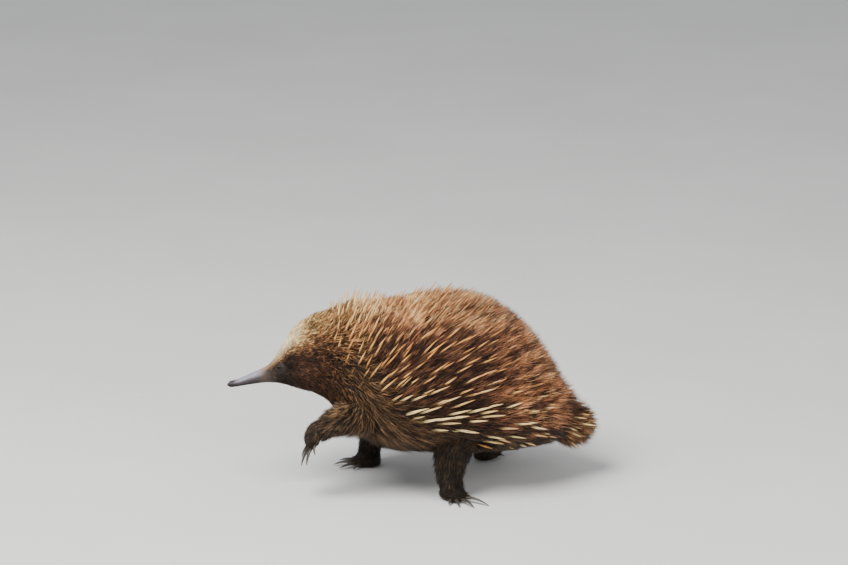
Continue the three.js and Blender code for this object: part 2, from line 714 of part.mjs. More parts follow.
function addLimb(limb) {
  const foot = FEET[limb.foot];
  const frame = footFrame(limb);
  const toes = foot.toes.map((digit) => toe(foot, digit, limb.side));
  const [long, broad, high] = foot.palm;
  const palm = ball(1, new THREE.Vector3(0, 0, high - SOLE_SINK), [long, broad, high], 10, 6);
  const ground = solidOf(new THREE.BoxGeometry(FAR, FAR, FAR).translate(0, 0, FAR / 2));
  const paw = Manifold.union([palm, ...toes]).intersect(ground).transform(frame.elements);
  const tube = limbTube(limb);
  const whole = Manifold.union([paw, tube]).subtract(trunkClear);
  echidna.add(meshOf(limb.name, whole.intersect(ground), LEG_FUR));
  foot.toes.forEach((digit, i) => {
    const made = claw(foot, digit, limb.side).transform(frame.elements);
    echidna.add(meshOf(limb.name.replace("leg", "claw") + "_" + (i + 1), made, CLAW_HORN));
  });
}

addBeak();
addHead();
addNeck();
addTrunk();
addTail();
LIMBS.forEach(addLimb);

// The frame's origin is on the floor, under the middle of the animal.
echidna.updateMatrixWorld(true);
const bounds = new THREE.Box3().setFromObject(echidna, true);
const centre = bounds.getCenter(new THREE.Vector3());
echidna.position.set(-centre.x, -centre.y, 0);

export default echidna;
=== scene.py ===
import math

import bmesh
import bpy
import numpy as np
from bpy.props import FloatProperty, FloatVectorProperty, IntProperty, PointerProperty
from mathutils import Matrix, Vector


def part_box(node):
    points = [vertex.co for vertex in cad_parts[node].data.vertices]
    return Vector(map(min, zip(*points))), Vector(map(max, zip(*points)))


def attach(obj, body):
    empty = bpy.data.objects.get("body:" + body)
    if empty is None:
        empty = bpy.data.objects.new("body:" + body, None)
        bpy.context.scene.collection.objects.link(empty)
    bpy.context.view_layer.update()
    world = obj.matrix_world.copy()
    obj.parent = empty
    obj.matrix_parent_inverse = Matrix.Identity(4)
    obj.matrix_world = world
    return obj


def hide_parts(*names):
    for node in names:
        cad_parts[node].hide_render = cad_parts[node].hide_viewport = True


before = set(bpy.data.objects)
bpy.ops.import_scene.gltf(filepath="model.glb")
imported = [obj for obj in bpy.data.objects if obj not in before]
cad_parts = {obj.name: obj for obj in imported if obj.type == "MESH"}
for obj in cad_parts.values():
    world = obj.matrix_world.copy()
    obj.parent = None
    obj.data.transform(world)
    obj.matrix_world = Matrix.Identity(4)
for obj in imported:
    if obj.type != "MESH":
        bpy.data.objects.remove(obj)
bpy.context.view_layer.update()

bl_info = {
    "name": "Echidna",
    "version": (1, 0, 0),
    "blender": (4, 5, 0),
    "location": "View3D > Sidebar > Echidna",
    "description": "A walking echidna with its spines and fur, life size",
    "category": "Object",
}

MM = 0.001

# Cross sections of the bare trunk along x: top, bottom, half width, coat on the side and on the back, in mm
SECTIONS = np.array([
    (-217.4, 128.1, 124.8, 2.6, 0, 0),
    (-216, 129.7, 123.8, 3.9, 0, 0),
    (-211, 131.2, 123.6, 4.9, 0, 0),
    (-204, 133.5, 124.4, 5.0, 0, 0),
    (-190, 139.6, 126.3, 6.2, 0, 0),
    (-176, 145.2, 128.0, 8.6, 0.2, 0.2),
    (-168, 150.2, 128.4, 11.4, 1, 1),
    (-158, 162.2, 128.0, 16.8, 2, 2.2),
    (-145, 183.8, 125.0, 24.5, 3.2, 3.6),
    (-133, 196.6, 122.1, 31.5, 4.2, 5),
    (-118, 203.4, 117.7, 40, 6, 7),
    (-100, 205.1, 109.0, 50, 9, 11),
    (-84, 206.0, 93.0, 60, 12, 20),
    (-62, 208.6, 69.0, 73, 15, 21),
    (-38, 209.4, 56.0, 82, 17, 20),
    (0, 212.4, 49.5, 89, 18, 23),
    (36, 215.4, 47.0, 91, 18, 25),
    (74, 207.4, 45.5, 88, 18, 26),
    (100, 191.6, 46.0, 81, 18, 27),
    (120, 173.0, 47.5, 71, 19, 28),
    (138, 150.4, 49.0, 58, 20, 28),
    (152, 127.0, 51.5, 43, 20, 28),
    (162, 107.0, 55.5, 29, 20, 26),
    (168, 93.0, 63.0, 16, 20, 24),
])
TRUNK_START = -217.4
TRUNK_END = 168
WIDEST = 0.44
SQUARENESS = 0.92
BELLY_THINNER = 0.5

# Height over which spines grow, along x
SPINED_FROM = np.array([
    (-120, 240),
    (-94, 216),
    (-73, 186),
    (-61, 155),
    (-43, 125),
    (-19, 101),
    (35, 87),
    (83, 68),
    (130, 54),
    (180, 47),
])
SPINE_FOCUS = np.array([-120.0, 0, 39])
HAIR_FOCUS = np.array([-138.0, 0, 155])
SHOULDER_FOCUS = np.array([-116.0, 0, 190])

# Height under which spines begin to droop, and how much they do at the floor
DROOP_BELOW = 116
LOW_DROOP = 0.95

# The lower edge of the cream forehead along x, as the cosine of the turn from the back line
CREAM_EDGE = np.array([
    (-180, 0.9),
    (-168, 0.86),
    (-159, 0.8),
    (-149, 0.74),
    (-138, 0.58),
    (-128, 0.6),
    (-114, 0.8),
    (-100, 0.95),
])

EYE = {"x": -156.5, "z": 150, "radius": 4.3, "set": 1.9, "core": 0.36}
EAR = {"x": -128, "z": 160}
MOUTH = {"until": -204.4, "z": 126.1, "gape": 0.35, "depth": 0.7}
NOSTRIL = {"x": -212, "y": 2.1, "length": 1.9, "width": 0.9, "depth": 1.4, "above": 127.4}
TAIL = {"root": (146, 0, 79), "tip": (198, 0, 65), "radius": 18}

LIMBS = {
    "fore_left": {
        "side": -1,
        "path": [(-48, 44, 112), (-67, 62, 104), (-99, 60, 93), (-112, 56, 82)],
        "radii": [25, 20, 15.5, 12],
        "heading": 6,
        "pitch": 58,
        "foot": "fore",
    },
    "fore_right": {
        "side": 1,
        "path": [(-40, 40, 102), (-38, 60, 66), (-42, 64, 32), (-46, 62, 12)],
        "radii": [25, 19, 15, 13.5],
        "heading": 4,
        "pitch": 0,
        "foot": "fore",
    },
    "hind_left": {
        "side": -1,
        "path": [(68, 44, 96), (44, 64, 60), (38, 74, 31), (41, 76, 12)],
        "radii": [31, 22, 16, 13.5],
        "heading": 122,
        "pitch": 0,
        "foot": "hind",
    },
    "hind_right": {
        "side": 1,
        "path": [(88, 44, 96), (83, 62, 60), (94, 71, 31), (99, 73, 12)],
        "radii": [31, 22, 16, 13.5],
        "heading": 130,
        "pitch": 0,
        "foot": "hind",
    },
}

# Digits: turn from the foot's line in degrees, reach of the toe, length and half width of the claw
FEET = {
    "fore": {
        "palm": (15.5, 15, 12),
        "digits": [
            (-52, 15, 15, 2.6),
            (-25, 18, 21, 3.1),
            (0, 19, 23, 3.3),
            (25, 18, 21, 3.1),
            (50, 15, 14, 2.6),
        ],
        "toe_radius": 4.4,
        "curl": 0.16,
    },
    "hind": {
        "palm": (16.5, 13, 12),
        "digits": [
            (-48, 15, 9, 2.4),
            (-20, 17, 34, 2.7),
            (2, 18, 26, 2.5),
            (24, 17, 17, 2.3),
            (46, 15.5, 12, 2.1),
        ],
        "toe_radius": 4.2,
        "curl": 0.22,
    },
}
CLAW_RISE = 4.6
SOLE_SINK = 1.8

# Colours of the bare skin and of the coat's hair, sRGB in 0 to 255
TINTS = {
    # The beak's top colour is partly its own grey and partly a painted highlight; its dark colour is painted
    # shade under the beak and the tip's own dark
    "beak_top_and_highlight": (138, 131, 140),
    "beak_side": (62, 54, 55),
    "beak_dark_tip_and_shade": (24, 19, 17),
    "eye_skin": (44, 31, 23),
    "face": (42, 28, 18),
    "muzzle": (72, 58, 46),
    "forehead": (255, 228, 178),
    "golden": (220, 162, 98),
    "crown": (170, 118, 72),
    "cheek": (76, 47, 28),
    "neck": (82, 51, 30),
    "back": (198, 132, 88),
    "middle": (82, 50, 32),
    "rump": (158, 102, 66),
    "flank": (66, 38, 22),
    "shoulder": (92, 68, 44),
    "belly": (54, 40, 27),
    "leg": (50, 38, 26),
    "tail": (112, 76, 46),
    "pale_tip": (222, 184, 140),
    "spine_root": (118, 68, 34),
    "spine_gold": (224, 160, 84),
    "spine_cream": (252, 230, 164),
    "spine_tip": (164, 98, 44),
}


def linear(srgb):
    """An sRGB colour in 0 to 255 as linear light."""
    c = np.asarray(srgb, float) / 255
    return np.where(c <= 0.04045, c / 12.92, ((c + 0.055) / 1.055) ** 2.4)


INK = {name: linear(value) for name, value in TINTS.items()}


def smoothstep(value, low, high):
    t = np.clip((value - low) / (high - low), 0, 1)
    return t * t * (3 - 2 * t)


def mix(a, b, share):
    share = np.asarray(share)[..., None]
    return a * (1 - share) + b * share


def unit(v):
    return v / np.maximum(np.linalg.norm(v, axis=-1, keepdims=True), 1e-9)


def dot(a, b):
    return np.sum(a * b, axis=-1)


def curve_of(positions, values):
    """A smooth curve through the values of a table."""
    positions = np.asarray(positions, float)
    values = np.asarray(values, float)
    last = len(positions) - 1

    def evaluate(at):
        at = np.clip(np.asarray(at, float), positions[0], positions[-1])
        i = np.clip(np.searchsorted(positions, at, side="right"), 1, last)
        t0, t1 = positions[i - 1], positions[i]
        v0, v1 = values[i - 1], values[i]
        first, final = i == 1, i == last
        t_before = np.where(first, t1, positions[np.maximum(i - 2, 0)])
        v_before = np.where(first, v1, values[np.maximum(i - 2, 0)])
        t_after = np.where(final, t0, positions[np.minimum(i + 1, last)])
        v_after = np.where(final, v0, values[np.minimum(i + 1, last)])
        w_before = 0.5 * (t1 - t0) / (t0 - t_before)
        w_after = 0.5 * (t1 - t0) / (t_after - t1)
        p = (at - t0) / (t1 - t0)
        p2, p3 = p * p, p * p * p
        s_before = -w_before * p3 + 2 * w_before * p2 - w_before * p
        s0 = (1 + w_before) * p3 + (-1.5 - 2 * w_before) * p2 + (-0.5 + w_before) * p + 1
        s1 = (-1 - w_after) * p3 + (1.5 + w_after) * p2 + 0.5 * p
        s_after = w_after * p3 - w_after * p2
        return s_before * v_before + s0 * v0 + s1 * v1 + s_after * v_after

    return evaluate


columns = SECTIONS.T
top_at, bottom_at, half_at, coat_at, crest_at = (curve_of(columns[0], column) for column in columns[1:])
spined_from_at = curve_of(SPINED_FROM[:, 0], SPINED_FROM[:, 1])
cream_edge_at = curve_of(CREAM_EDGE[:, 0], CREAM_EDGE[:, 1])


def skin_point(x, turn):
    """A point of the trunk's bare skin. turn goes round from the back line, first to the right side."""
    top, bottom = top_at(x), bottom_at(x)
    level = bottom + (top - bottom) * WIDEST
    out, up = np.sin(turn), np.cos(turn)
    rise = np.sign(up) * np.abs(up) ** SQUARENESS
    y = half_at(x) * np.sign(out) * np.abs(out) ** SQUARENESS
    z = level + rise * np.where(up > 0, top - level, level - bottom)
    return np.stack(np.broadcast_arrays(x, y, z), axis=-1)


def skin_normal(x, turn):
    along = skin_point(x + 0.6, turn) - skin_point(x - 0.6, turn)
    around = skin_point(x, turn + 0.02) - skin_point(x, turn - 0.02)
    return unit(np.cross(along, around))


def coat_depth(x, turn):
    up = np.cos(turn)
    belly = smoothstep(-up, 0.1, 0.9)
    back = smoothstep(up, 0.1, 0.8)
    side = coat_at(x)
    return (side + (crest_at(x) - side) * back) * (1 - BELLY_THINNER * belly)


def turn_at(x, z):
    """The turn at which a section's skin passes a height above its widest level."""
    level = bottom_at(x) + (top_at(x) - bottom_at(x)) * WIDEST
    rise = (z - level) / (top_at(x) - level)
    return np.arccos(rise ** (1 / SQUARENESS))


def spined_share(points):
    """0 where hair grows alone, 1 well among the spines, with a soft border."""
    return smoothstep(points[..., 2] - spined_from_at(points[..., 0]), -42, 36)


def spine_share(points):
    """As spined_share, with the spines' own border further forward at mid height."""
    z = points[..., 2]
    forward = 20 * smoothstep(z, 112, 140) * (1 - smoothstep(z, 190, 212))
    return smoothstep(z - spined_from_at(points[..., 0] + forward), -42, 36)


def spine_lie(points):
    lie = unit(points - SPINE_FOCUS)
    low = np.clip((DROOP_BELOW - points[..., 2]) / DROOP_BELOW, 0, 1)
    lie[..., 2] -= LOW_DROOP * low
    return unit(lie)


def flat_on(direction, normal):
    """The part of a direction that lies in the skin."""
    return unit(direction - normal * dot(direction, normal)[..., None])


def hair_lie(points, normal, lean):
    """Hair runs back over the face, and away from the throat on the neck, shoulders and belly."""
    backwards = flat_on(np.broadcast_to(np.array([1.0, 0, 0.1]), points.shape), normal)
    shoulder = smoothstep(points[..., 0], -112, -66) * (1 - smoothstep(points[..., 0], -20, 40))
    focus = HAIR_FOCUS + (SHOULDER_FOCUS - HAIR_FOCUS) * shoulder[..., None]
    away = flat_on(points - focus, normal)
    behind_face = smoothstep(points[..., 0], -126, -98)
    lie = unit(mix(backwards, away, behind_face))
    return unit(lie + normal * np.asarray(lean)[..., None])


def inside_trunk(points, room=0.0):
    """True for points under the trunk's skin."""
    x, y, z = points[..., 0], points[..., 1], points[..., 2]
    top, bottom = top_at(x) - room, bottom_at(x) + room
    level = bottom + (top - bottom) * WIDEST
    up = np.abs(np.where(z > level, (z - level) / (top - level), (level - z) / (level - bottom)))
    out = np.abs(y) / np.maximum(half_at(x) - room, 0.1)
    power = 2 / SQUARENESS
    return (up ** power + out ** power < 1) & (x > TRUNK_START) & (x < TRUNK_END)


def eye_centre(side):
    turn = side * turn_at(EYE["x"], EYE["z"])
    normal = skin_normal(EYE["x"], turn)
    lift = coat_depth(EYE["x"], turn) * EYE["core"]
    return skin_point(EYE["x"], turn) + normal * (lift - EYE["set"]), normal


def frame_shift():
    """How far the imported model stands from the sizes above, in mm, read from the eyes."""
    shifts = []
    for node, side in (("eye_left", -1), ("eye_right", 1)):
        low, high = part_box(node)
        middle = np.array(low + high) / 2 / MM
        shifts.append(middle - eye_centre(side)[0])
    if np.abs(shifts[0] - shifts[1]).max() > 0.5:
        raise RuntimeError("the eyes of the packed model don't fit the sizes in this file")
    return (shifts[0] + shifts[1]) / 2


SHIFT = frame_shift()


def placed(points):
    """Points in mm as metres in the shared frame."""
    return (np.asarray(points) + SHIFT) * MM


def body_tint(points, turn):
    """The markings of the skin and coat over the head and trunk, with a painted highlight on the beak's top
    and painted shade under the beak.
    """
    x, z = points[..., 0], points[..., 2]
    up = np.cos(turn)

    tint = mix(INK["flank"], INK["middle"], smoothstep(z, 95, 160))
    tint = mix(tint, INK["back"], smoothstep(z, 178, 212))
    rump = smoothstep(x, 55, 125) * smoothstep(z, 60, 120) * (1 - smoothstep(z, 185, 210))
    tint = mix(tint, INK["rump"], rump)
    tint = mix(tint, INK["belly"], smoothstep(-up, 0.35, 0.85))

    bare = smoothstep(spined_from_at(x) - z, -34, 24)
    shoulder = bare * (1 - smoothstep(x, -10, 40)) * (1 - smoothstep(-up, 0.6, 0.95))
    tint = mix(tint, INK["shoulder"], shoulder)
    tint = mix(tint, INK["belly"], bare * smoothstep(x, -10, 40))
    tint = mix(tint, INK["neck"], 1 - smoothstep(x, -112, -72))
    tint = mix(tint, INK["crown"], (1 - smoothstep(x, -98, -52)) * smoothstep(up, 0.3, 0.8))
    tint = mix(tint, INK["cheek"], (1 - smoothstep(x, -134, -114)) * (1 - smoothstep(up, 0.3, 0.65)))

    over_edge = up - cream_edge_at(x)
    ahead = 1 - smoothstep(x, -136, -110)
    halo = 0.8 * ahead * smoothstep(over_edge, -0.3, 0.04) * smoothstep(x, -166, -148)
    tint = mix(tint, INK["crown"], halo)
    tint = mix(tint, INK["muzzle"], 0.75 * (1 - smoothstep(x, -176, -158)))
    front = 1 - smoothstep(x, -150, -132)
    face = mix(INK["muzzle"], INK["face"], smoothstep(x, -170, -156))
    tint = mix(tint, face, front * (1 - smoothstep(over_edge, -0.28, 0.04)))
    cream = ahead * smoothstep(over_edge, -0.14, 0.24) * (0.35 + 0.65 * smoothstep(x, -170, -150))
    pale = mix(INK["forehead"], INK["golden"], 0.85 * smoothstep(x, -151, -128))
    tint = mix(tint, pale, cream)

    # Painted highlight on the beak's top and painted shade under it; the dark tip is the beak's own colour
    beak_tint = mix(INK["beak_side"], INK["beak_top_and_highlight"], smoothstep(up, 0.1, 0.75))
    dark = np.maximum(smoothstep(-up, 0.0, 0.5), 0.85 * (1 - smoothstep(x, -214, -202)))
    beak = 1 - smoothstep(x, -188, -170)
    return mix(tint, mix(beak_tint, INK["beak_dark_tip_and_shade"], dark), beak)


def limb_curve(limb):
    """The limb's middle line, as a function of how far along it is."""
    p = np.array([(x, limb["side"] * y, z) for x, y, z in limb["path"]], float)
    p = np.vstack([2 * p[0] - p[1], p, 2 * p[-1] - p[-2]])

    def evaluate(s):
        s = np.clip(np.atleast_1d(np.asarray(s, float)), 0, 1) * 3
        i = np.minimum(s.astype(int), 2)
        w = (s - i)[:, None]
        a, b, c, d = p[i], p[i + 1], p[i + 2], p[i + 3]
        ab = (np.sum((b - a) ** 2, 1) ** 0.25)[:, None]
        bc = (np.sum((c - b) ** 2, 1) ** 0.25)[:, None]
        cd = (np.sum((d - c) ** 2, 1) ** 0.25)[:, None]
        start = ((b - a) / ab - (c - a) / (ab + bc) + (c - b) / bc) * bc
        stop = ((c - b) / bc - (d - b) / (bc + cd) + (d - c) / cd) * bc
        square = -3 * b + 3 * c - 2 * start - stop
        cube = 2 * b - 2 * c + start + stop
        return b + start * w + square * w**2 + cube * w**3

    return evaluate


def limb_radius(limb, s):
    return curve_of([0, 1, 2, 3], limb["radii"])(s * 3)


def limb_surface(limb, s, angle, thinner):
    """Points of a limb, their outward normals and the way along it."""
    curve = limb_curve(limb)
    centre = curve(s)
    along = unit(curve(np.minimum(s + 0.01, 1)) - curve(np.maximum(s - 0.01, 0)))
    across = flat_on(np.broadcast_to(np.array([0.0, 1, 0]), along.shape), along)
    over = np.cross(along, across)
    radius = limb_radius(limb, s) - thinner
    out = across * np.cos(angle)[:, None] + over * np.sin(angle)[:, None]
    return centre + out * radius[:, None], out, along


def foot_frame(limb):
    """The foot's own axes: its +X runs along the middle toe, and z = 0 is the sole."""
    x, y, z = limb["path"][-1]
    heading = limb["side"] * math.radians(limb["heading"])
    turned = Matrix.Rotation(math.pi - heading, 4, "Z")
    tipped = Matrix.Rotation(math.radians(limb["pitch"]), 4, "Y")
    place = Matrix.Translation((x, limb["side"] * y, z - 6 if limb["pitch"] else 0))
    return np.array(place @ turned @ tipped)


def in_frame(matrix, points):
    return points @ matrix[:3, :3].T + matrix[:3, 3]


def toe_axes(limb, turn):
    """A toe's own way forward and the way across it, level with the sole."""
    a = math.radians(turn * limb["side"])
    forward = np.array([math.cos(a), math.sin(a), 0])
    return forward, np.array([-forward[1], forward[0], 0])


def tail_axes():
    """Where the tail starts and ends, the way along it, across it and over it."""
    root, tip = np.array(TAIL["root"], float), np.array(TAIL["tip"], float)
    along = unit(tip - root)
    across = np.array([0.0, 1, 0])
    return root, tip, along, across, np.cross(along, across)


def mesh_object(name, points, faces):
    """A smooth object from points in mm and a list of faces, in the shared frame."""
    mesh = bpy.data.meshes.new(name)
    mesh.from_pydata(placed(points).tolist(), [], faces)
    mesh.validate()
    made = bpy.data.objects.new(name, mesh)
    bpy.context.scene.collection.objects.link(made)
    mesh.polygons.foreach_set("use_smooth", np.ones(len(mesh.polygons), bool))
    return made


def points_round(count):
    """Angles spread evenly round a ring."""
    return np.arange(count) / count * 2 * math.pi


def tube(rings, first, last):
    """Points and faces of rings joined into a closed tube."""
    rings = np.asarray(rings)
    rows, count = rings.shape[:2]
    points = np.vstack([rings.reshape(-1, 3), first, last])
    faces = []
    head, end = rows * count, rows * count + 1
    for j in range(count):
        k = (j + 1) % count
        faces.append((head, k, j))
        faces.append((end, head - count + j, head - count + k))
        for i in range(rows - 1):
            a, b = i * count, (i + 1) * count
            faces.append((a + j, a + k, b + k, b + j))
    return points, faces


def facing_out(made):
    """Turns a mesh's faces out."""
    work = bmesh.new()
    work.from_mesh(made.data)
    bmesh.ops.recalc_face_normals(work, faces=work.faces)
    work.to_mesh(made.data)
    work.free()
    return made


def joined(name, parts):
    """Several objects as one."""
    made = parts[0]
    with bpy.context.temp_override(active_object=made, selected_editable_objects=parts, object=made):
        bpy.ops.object.join()
    made.name = name
    made.data.name = name
    return made


def apply_modifiers(made):
    graph = bpy.context.evaluated_depsgraph_get()
    mesh = bpy.data.meshes.new_from_object(made.evaluated_get(graph), depsgraph=graph)
    made.modifiers.clear()
    old = made.data
    made.data = mesh
    bpy.data.meshes.remove(old)
    return made


def united(made, other):
    """made with other fused into it."""
    cutter = made.modifiers.new("fuse", "BOOLEAN")
    cutter.operation = "UNION"
    cutter.solver = "MANIFOLD"
    cutter.object = other
    before = len(made.data.polygons)
    apply_modifiers(made)
    if len(made.data.polygons) < before / 2:
        raise RuntimeError(other.name + " couldn't be fused to " + made.name)
    bpy.data.objects.remove(other)
    return made


def remeshed(made, cell, smooth_steps):
    """One smooth surface round everything in made. cell is in mm."""
    merge = made.modifiers.new("merge", "REMESH")
    merge.mode = "VOXEL"
    merge.voxel_size = cell * MM
    merge.use_smooth_shade = True
    soften = made.modifiers.new("soften", "SMOOTH")
    soften.factor = 0.5
    soften.iterations = smooth_steps
    return apply_modifiers(made)


def colour_points(mesh, tints):
    """Writes one colour for each point of a mesh."""
    rgba = np.ones((len(mesh.vertices), 4), np.float32)
    rgba[:, :3] = tints
    layer = mesh.attributes.new("tint", "FLOAT_COLOR", "POINT")
    layer.data.foreach_set("color", rgba.reshape(-1))


def tint_mesh(made, colour_of):
    """Writes the markings of a mesh. colour_of takes points in mm."""
    mesh = made.data
    co = np.empty(len(mesh.vertices) * 3, np.float32)
    mesh.vertices.foreach_get("co", co)
    colour_points(mesh, colour_of(co.reshape(-1, 3).astype(float) / MM - SHIFT))


# Materials

def node(tree, kind, **settings):
    made = tree.nodes.new(kind)
    for key, value in settings.items():
        setattr(made, key, value)
    return made


def noise_of(tree, scale, detail=3.0, roughness=0.55):
    coordinates = node(tree, "ShaderNodeTexCoord")
    noise = node(tree, "ShaderNodeTexNoise")
    noise.inputs["Scale"].default_value = scale
    noise.inputs["Detail"].default_value = detail
    noise.inputs["Roughness"].default_value = roughness
    tree.links.new(coordinates.outputs["Object"], noise.inputs["Vector"])
    return noise


def ramp_of(tree, source, stops):
    ramp = node(tree, "ShaderNodeValToRGB")
    elements = ramp.color_ramp.elements
    while len(elements) < len(stops):
        elements.new(0.5)
    for element, (position, colour) in zip(elements, stops):
        element.position = position
        element.color = (*colour, 1)
    tree.links.new(source, ramp.inputs["Fac"])
    return ramp.outputs["Color"]


def multiply(tree, a, b):
    blend = node(tree, "ShaderNodeMix", data_type="RGBA", blend_type="MULTIPLY")
    blend.inputs["Factor"].default_value = 1
    tree.links.new(a, blend.inputs["A"])
    tree.links.new(b, blend.inputs["B"])
    return blend.outputs["Result"]


def tinted(tree, scale, low, high):
    """The markings of the mesh, varied by noise from low to high."""
    markings = node(tree, "ShaderNodeAttribute", attribute_name="tint")
    noise = noise_of(tree, scale)
    shade = ramp_of(tree, noise.outputs["Fac"], [(0.3, (low,) * 3), (0.7, (high,) * 3)])
    return multiply(tree, markings.outputs["Color"], shade)


def roughness_from(tree, shader, source, low, high):
    spread = node(tree, "ShaderNodeMapRange")
    spread.inputs["To Min"].default_value = low
    spread.inputs["To Max"].default_value = high
    tree.links.new(source, spread.inputs["Value"])
    tree.links.new(spread.outputs["Result"], shader.inputs["Roughness"])


def bump_from(tree, shader, source, distance, strength):
    bump = node(tree, "ShaderNodeBump")
    bump.inputs["Distance"].default_value = distance
    bump.inputs["Strength"].default_value = strength
    tree.links.new(source, bump.inputs["Height"])
    tree.links.new(bump.outputs["Normal"], shader.inputs["Normal"])


# Each finish: the colour's noise as scale, least and most brightness, the grain's noise as scale, detail and
# roughness, the range of the surface's own roughness, and the bump's depth in m and its strength
FINISHES = {
    "leathery_skin": {
        "colour": (900, 0.72, 1.12),
        "grain": (1400, 5, 0.65),
        "roughness": (0.42, 0.68),
        "bump": (0.0006, 0.5),
        "sockets": {"Specular IOR Level": 0.28},
    },
    "coarse_hair": {
        "colour": (320, 0.78, 1.2),
        "grain": (500, 3, 0.55),
        "roughness": (0.45, 0.7),
        "sockets": {"Specular IOR Level": 0.22, "Sheen Weight": 0.05, "Sheen Roughness": 0.4},
    },
    "spine_keratin": {
        "colour": (260, 0.86, 1.1),
        "grain": (700, 4, 0.55),
        "roughness": (0.3, 0.5),
        "bump": (0.0002, 0.4),
        "sockets": {"Specular IOR Level": 0.5},
    },
    "claw_horn": {
        "colour": (300, 0.7, 1.25),
        "grain": (900, 5, 0.55),
        "roughness": (0.28, 0.52),
        "bump": (0.0003, 0.5),
    },
    "wet_eye": {
        "colour": (600, 0.8, 1.1),
        "sockets": {"Roughness": 0.06, "Specular IOR Level": 0.22},
    },
}
FLOOR_SHADES = [(0.3, (0.62, 0.61, 0.59)), (0.7, (0.66, 0.65, 0.63))]


def blank_material(name):
    material = bpy.data.materials.new(name)
    material.use_nodes = True
    tree = material.node_tree
    return material, tree, tree.nodes["Principled BSDF"]


def finish(name):
    """One of the finishes as a material, made once."""
    if name in bpy.data.materials:
        return bpy.data.materials[name]
    material, tree, shader = blank_material(name)
    sizes = FINISHES[name]
    tree.links.new(tinted(tree, *sizes["colour"]), shader.inputs["Base Color"])
    if "grain" in sizes:
        grain = noise_of(tree, *sizes["grain"]).outputs["Fac"]
        roughness_from(tree, shader, grain, *sizes["roughness"])
    if "bump" in sizes:
        bump_from(tree, shader, grain, *sizes["bump"])
    for socket, value in sizes.get("sockets", {}).items():
        shader.inputs[socket].default_value = value
    return material


def floor_material():
    material, tree, shader = blank_material("plain_floor")
    noise = noise_of(tree, 3).outputs["Fac"]
    tree.links.new(ramp_of(tree, noise, FLOOR_SHADES), shader.inputs["Base Color"])
    roughness_from(tree, shader, noise, 0.8, 0.9)
    return material


# Strands: many tapered solid hairs or spines in one mesh

HAIR_FORM = {"sides": 3, "stations": (0.0, 0.55), "widths": (0.8, 0.9)}
SPINE_FORM = {
    "sides": 8,
    "stations": (0.0, 0.12, 0.3, 0.5, 0.7, 0.86, 0.95),
    "widths": (0.62, 0.85, 1.0, 0.97, 0.78, 0.46, 0.2),
}
UV_PATCH = 0.003
PIECE_TRIANGLES = 190000
HAIR_FLATNESS = 0.7


def strand_set(draw, root, lie, normal, bend, length, width, tints, uv, flat=HAIR_FLATNESS):
    """Strands as rows of numbers, one for each: root, lie, normal and bend as three, length and width as one,
    the colours at root, middle and tip, and the root's place uv on the unwrapped skin."""
    return {
        "root": root,
        "lie": lie,
        "normal": normal,
        "bend": bend,
        "length": length,
        "width": width,
        "flat": flat,
        "spin": draw.uniform(0, 2, len(root)),
        "tint_root": tints[0],
        "tint_mid": tints[1],
        "tint_tip": tints[2],
        "uv": uv,
    }


def strand_triangles(sides, rows):
    """The triangles of one closed strand with rows of points round it and one at its tip."""
    tip = rows * sides
    triangles = []
    for k in range(sides):
        n = (k + 1) % sides
        for i in range(rows - 1):
            a, b = i * sides, (i + 1) * sides
            triangles += [(a + k, a + n, b + n), (a + k, b + n, b + k)]
        last = (rows - 1) * sides
        triangles.append((last + k, last + n, tip))
    for k in range(1, sides - 1):
        triangles.append((0, k + 1, k))
    return np.array(triangles)


def strand_points(hair, sides, stations, widths):
    """The points of every strand in m, and how far along its strand each stands."""
    root, lie, length = hair["root"], hair["lie"], hair["length"]
    side = unit(np.cross(lie, hair["normal"] + 1e-4))
    over = np.cross(lie, side)
    corners = len(stations) * sides + 1
    points = np.empty((len(root), corners, 3), np.float32)
    along = np.empty(corners)
    for i, (s, w) in enumerate(zip(stations, widths)):
        centre = root + (lie * s + hair["bend"] * s * s) * length[:, None]
        reach = hair["width"] * w * 0.5
        for k in range(sides):
            a = hair["spin"] + k * 2 * math.pi / sides
            offset = side * (np.cos(a) * reach)[:, None] + over * (np.sin(a) * reach * hair["flat"])[:, None]
            points[:, i * sides + k] = placed(centre + offset)
            along[i * sides + k] = s
    points[:, -1] = placed(root + (lie + hair["bend"]) * length[:, None])
    along[-1] = 1
    return points, along


def strands(name, hair, sides, stations, widths):
    """One mesh of closed tapered strands, with their colours and their places on the unwrapped skin."""
    points, along = strand_points(hair, sides, stations, widths)
    count, corners = points.shape[:2]
    triangles = strand_triangles(sides, len(stations))
    corner_of = (triangles[None] + (np.arange(count) * corners)[:, None, None]).reshape(-1)
    total = count * len(triangles)
    mesh = bpy.data.meshes.new(name)
    mesh.vertices.add(count * corners)
    mesh.vertices.foreach_set("co", points.reshape(-1))
    mesh.loops.add(total * 3)
    mesh.loops.foreach_set("vertex_index", corner_of.astype(np.int32))
    mesh.polygons.add(total)
    mesh.polygons.foreach_set("loop_start", np.arange(0, total * 3, 3, dtype=np.int32))
    mesh.polygons.foreach_set("use_smooth", np.ones(total, bool))
    mesh.update()

    share = along[None, :, None]
    lower = np.clip(share * 2, 0, 1)
    upper = np.clip(share * 2 - 1, 0, 1)
    tint = hair["tint_root"][:, None] * (1 - lower) + hair["tint_mid"][:, None] * lower
    tint = tint * (1 - upper) + hair["tint_tip"][:, None] * upper
    colour_points(mesh, tint.reshape(-1, 3))

    across = np.concatenate([np.tile(np.arange(sides) / max(sides - 1, 1), len(stations)), [0.5]])
    offsets = (np.stack([across, along], axis=-1) - 0.5) * UV_PATCH
    uv = np.clip((hair["uv"][:, None] + offsets[None]).reshape(-1, 2), 0, 1)
    layer = mesh.uv_layers.new(name="OFBake")
    layer.data.foreach_set("uv", uv[corner_of].astype(np.float32).reshape(-1))

    made = bpy.data.objects.new(name, mesh)
    bpy.context.scene.collection.objects.link(made)
    return made


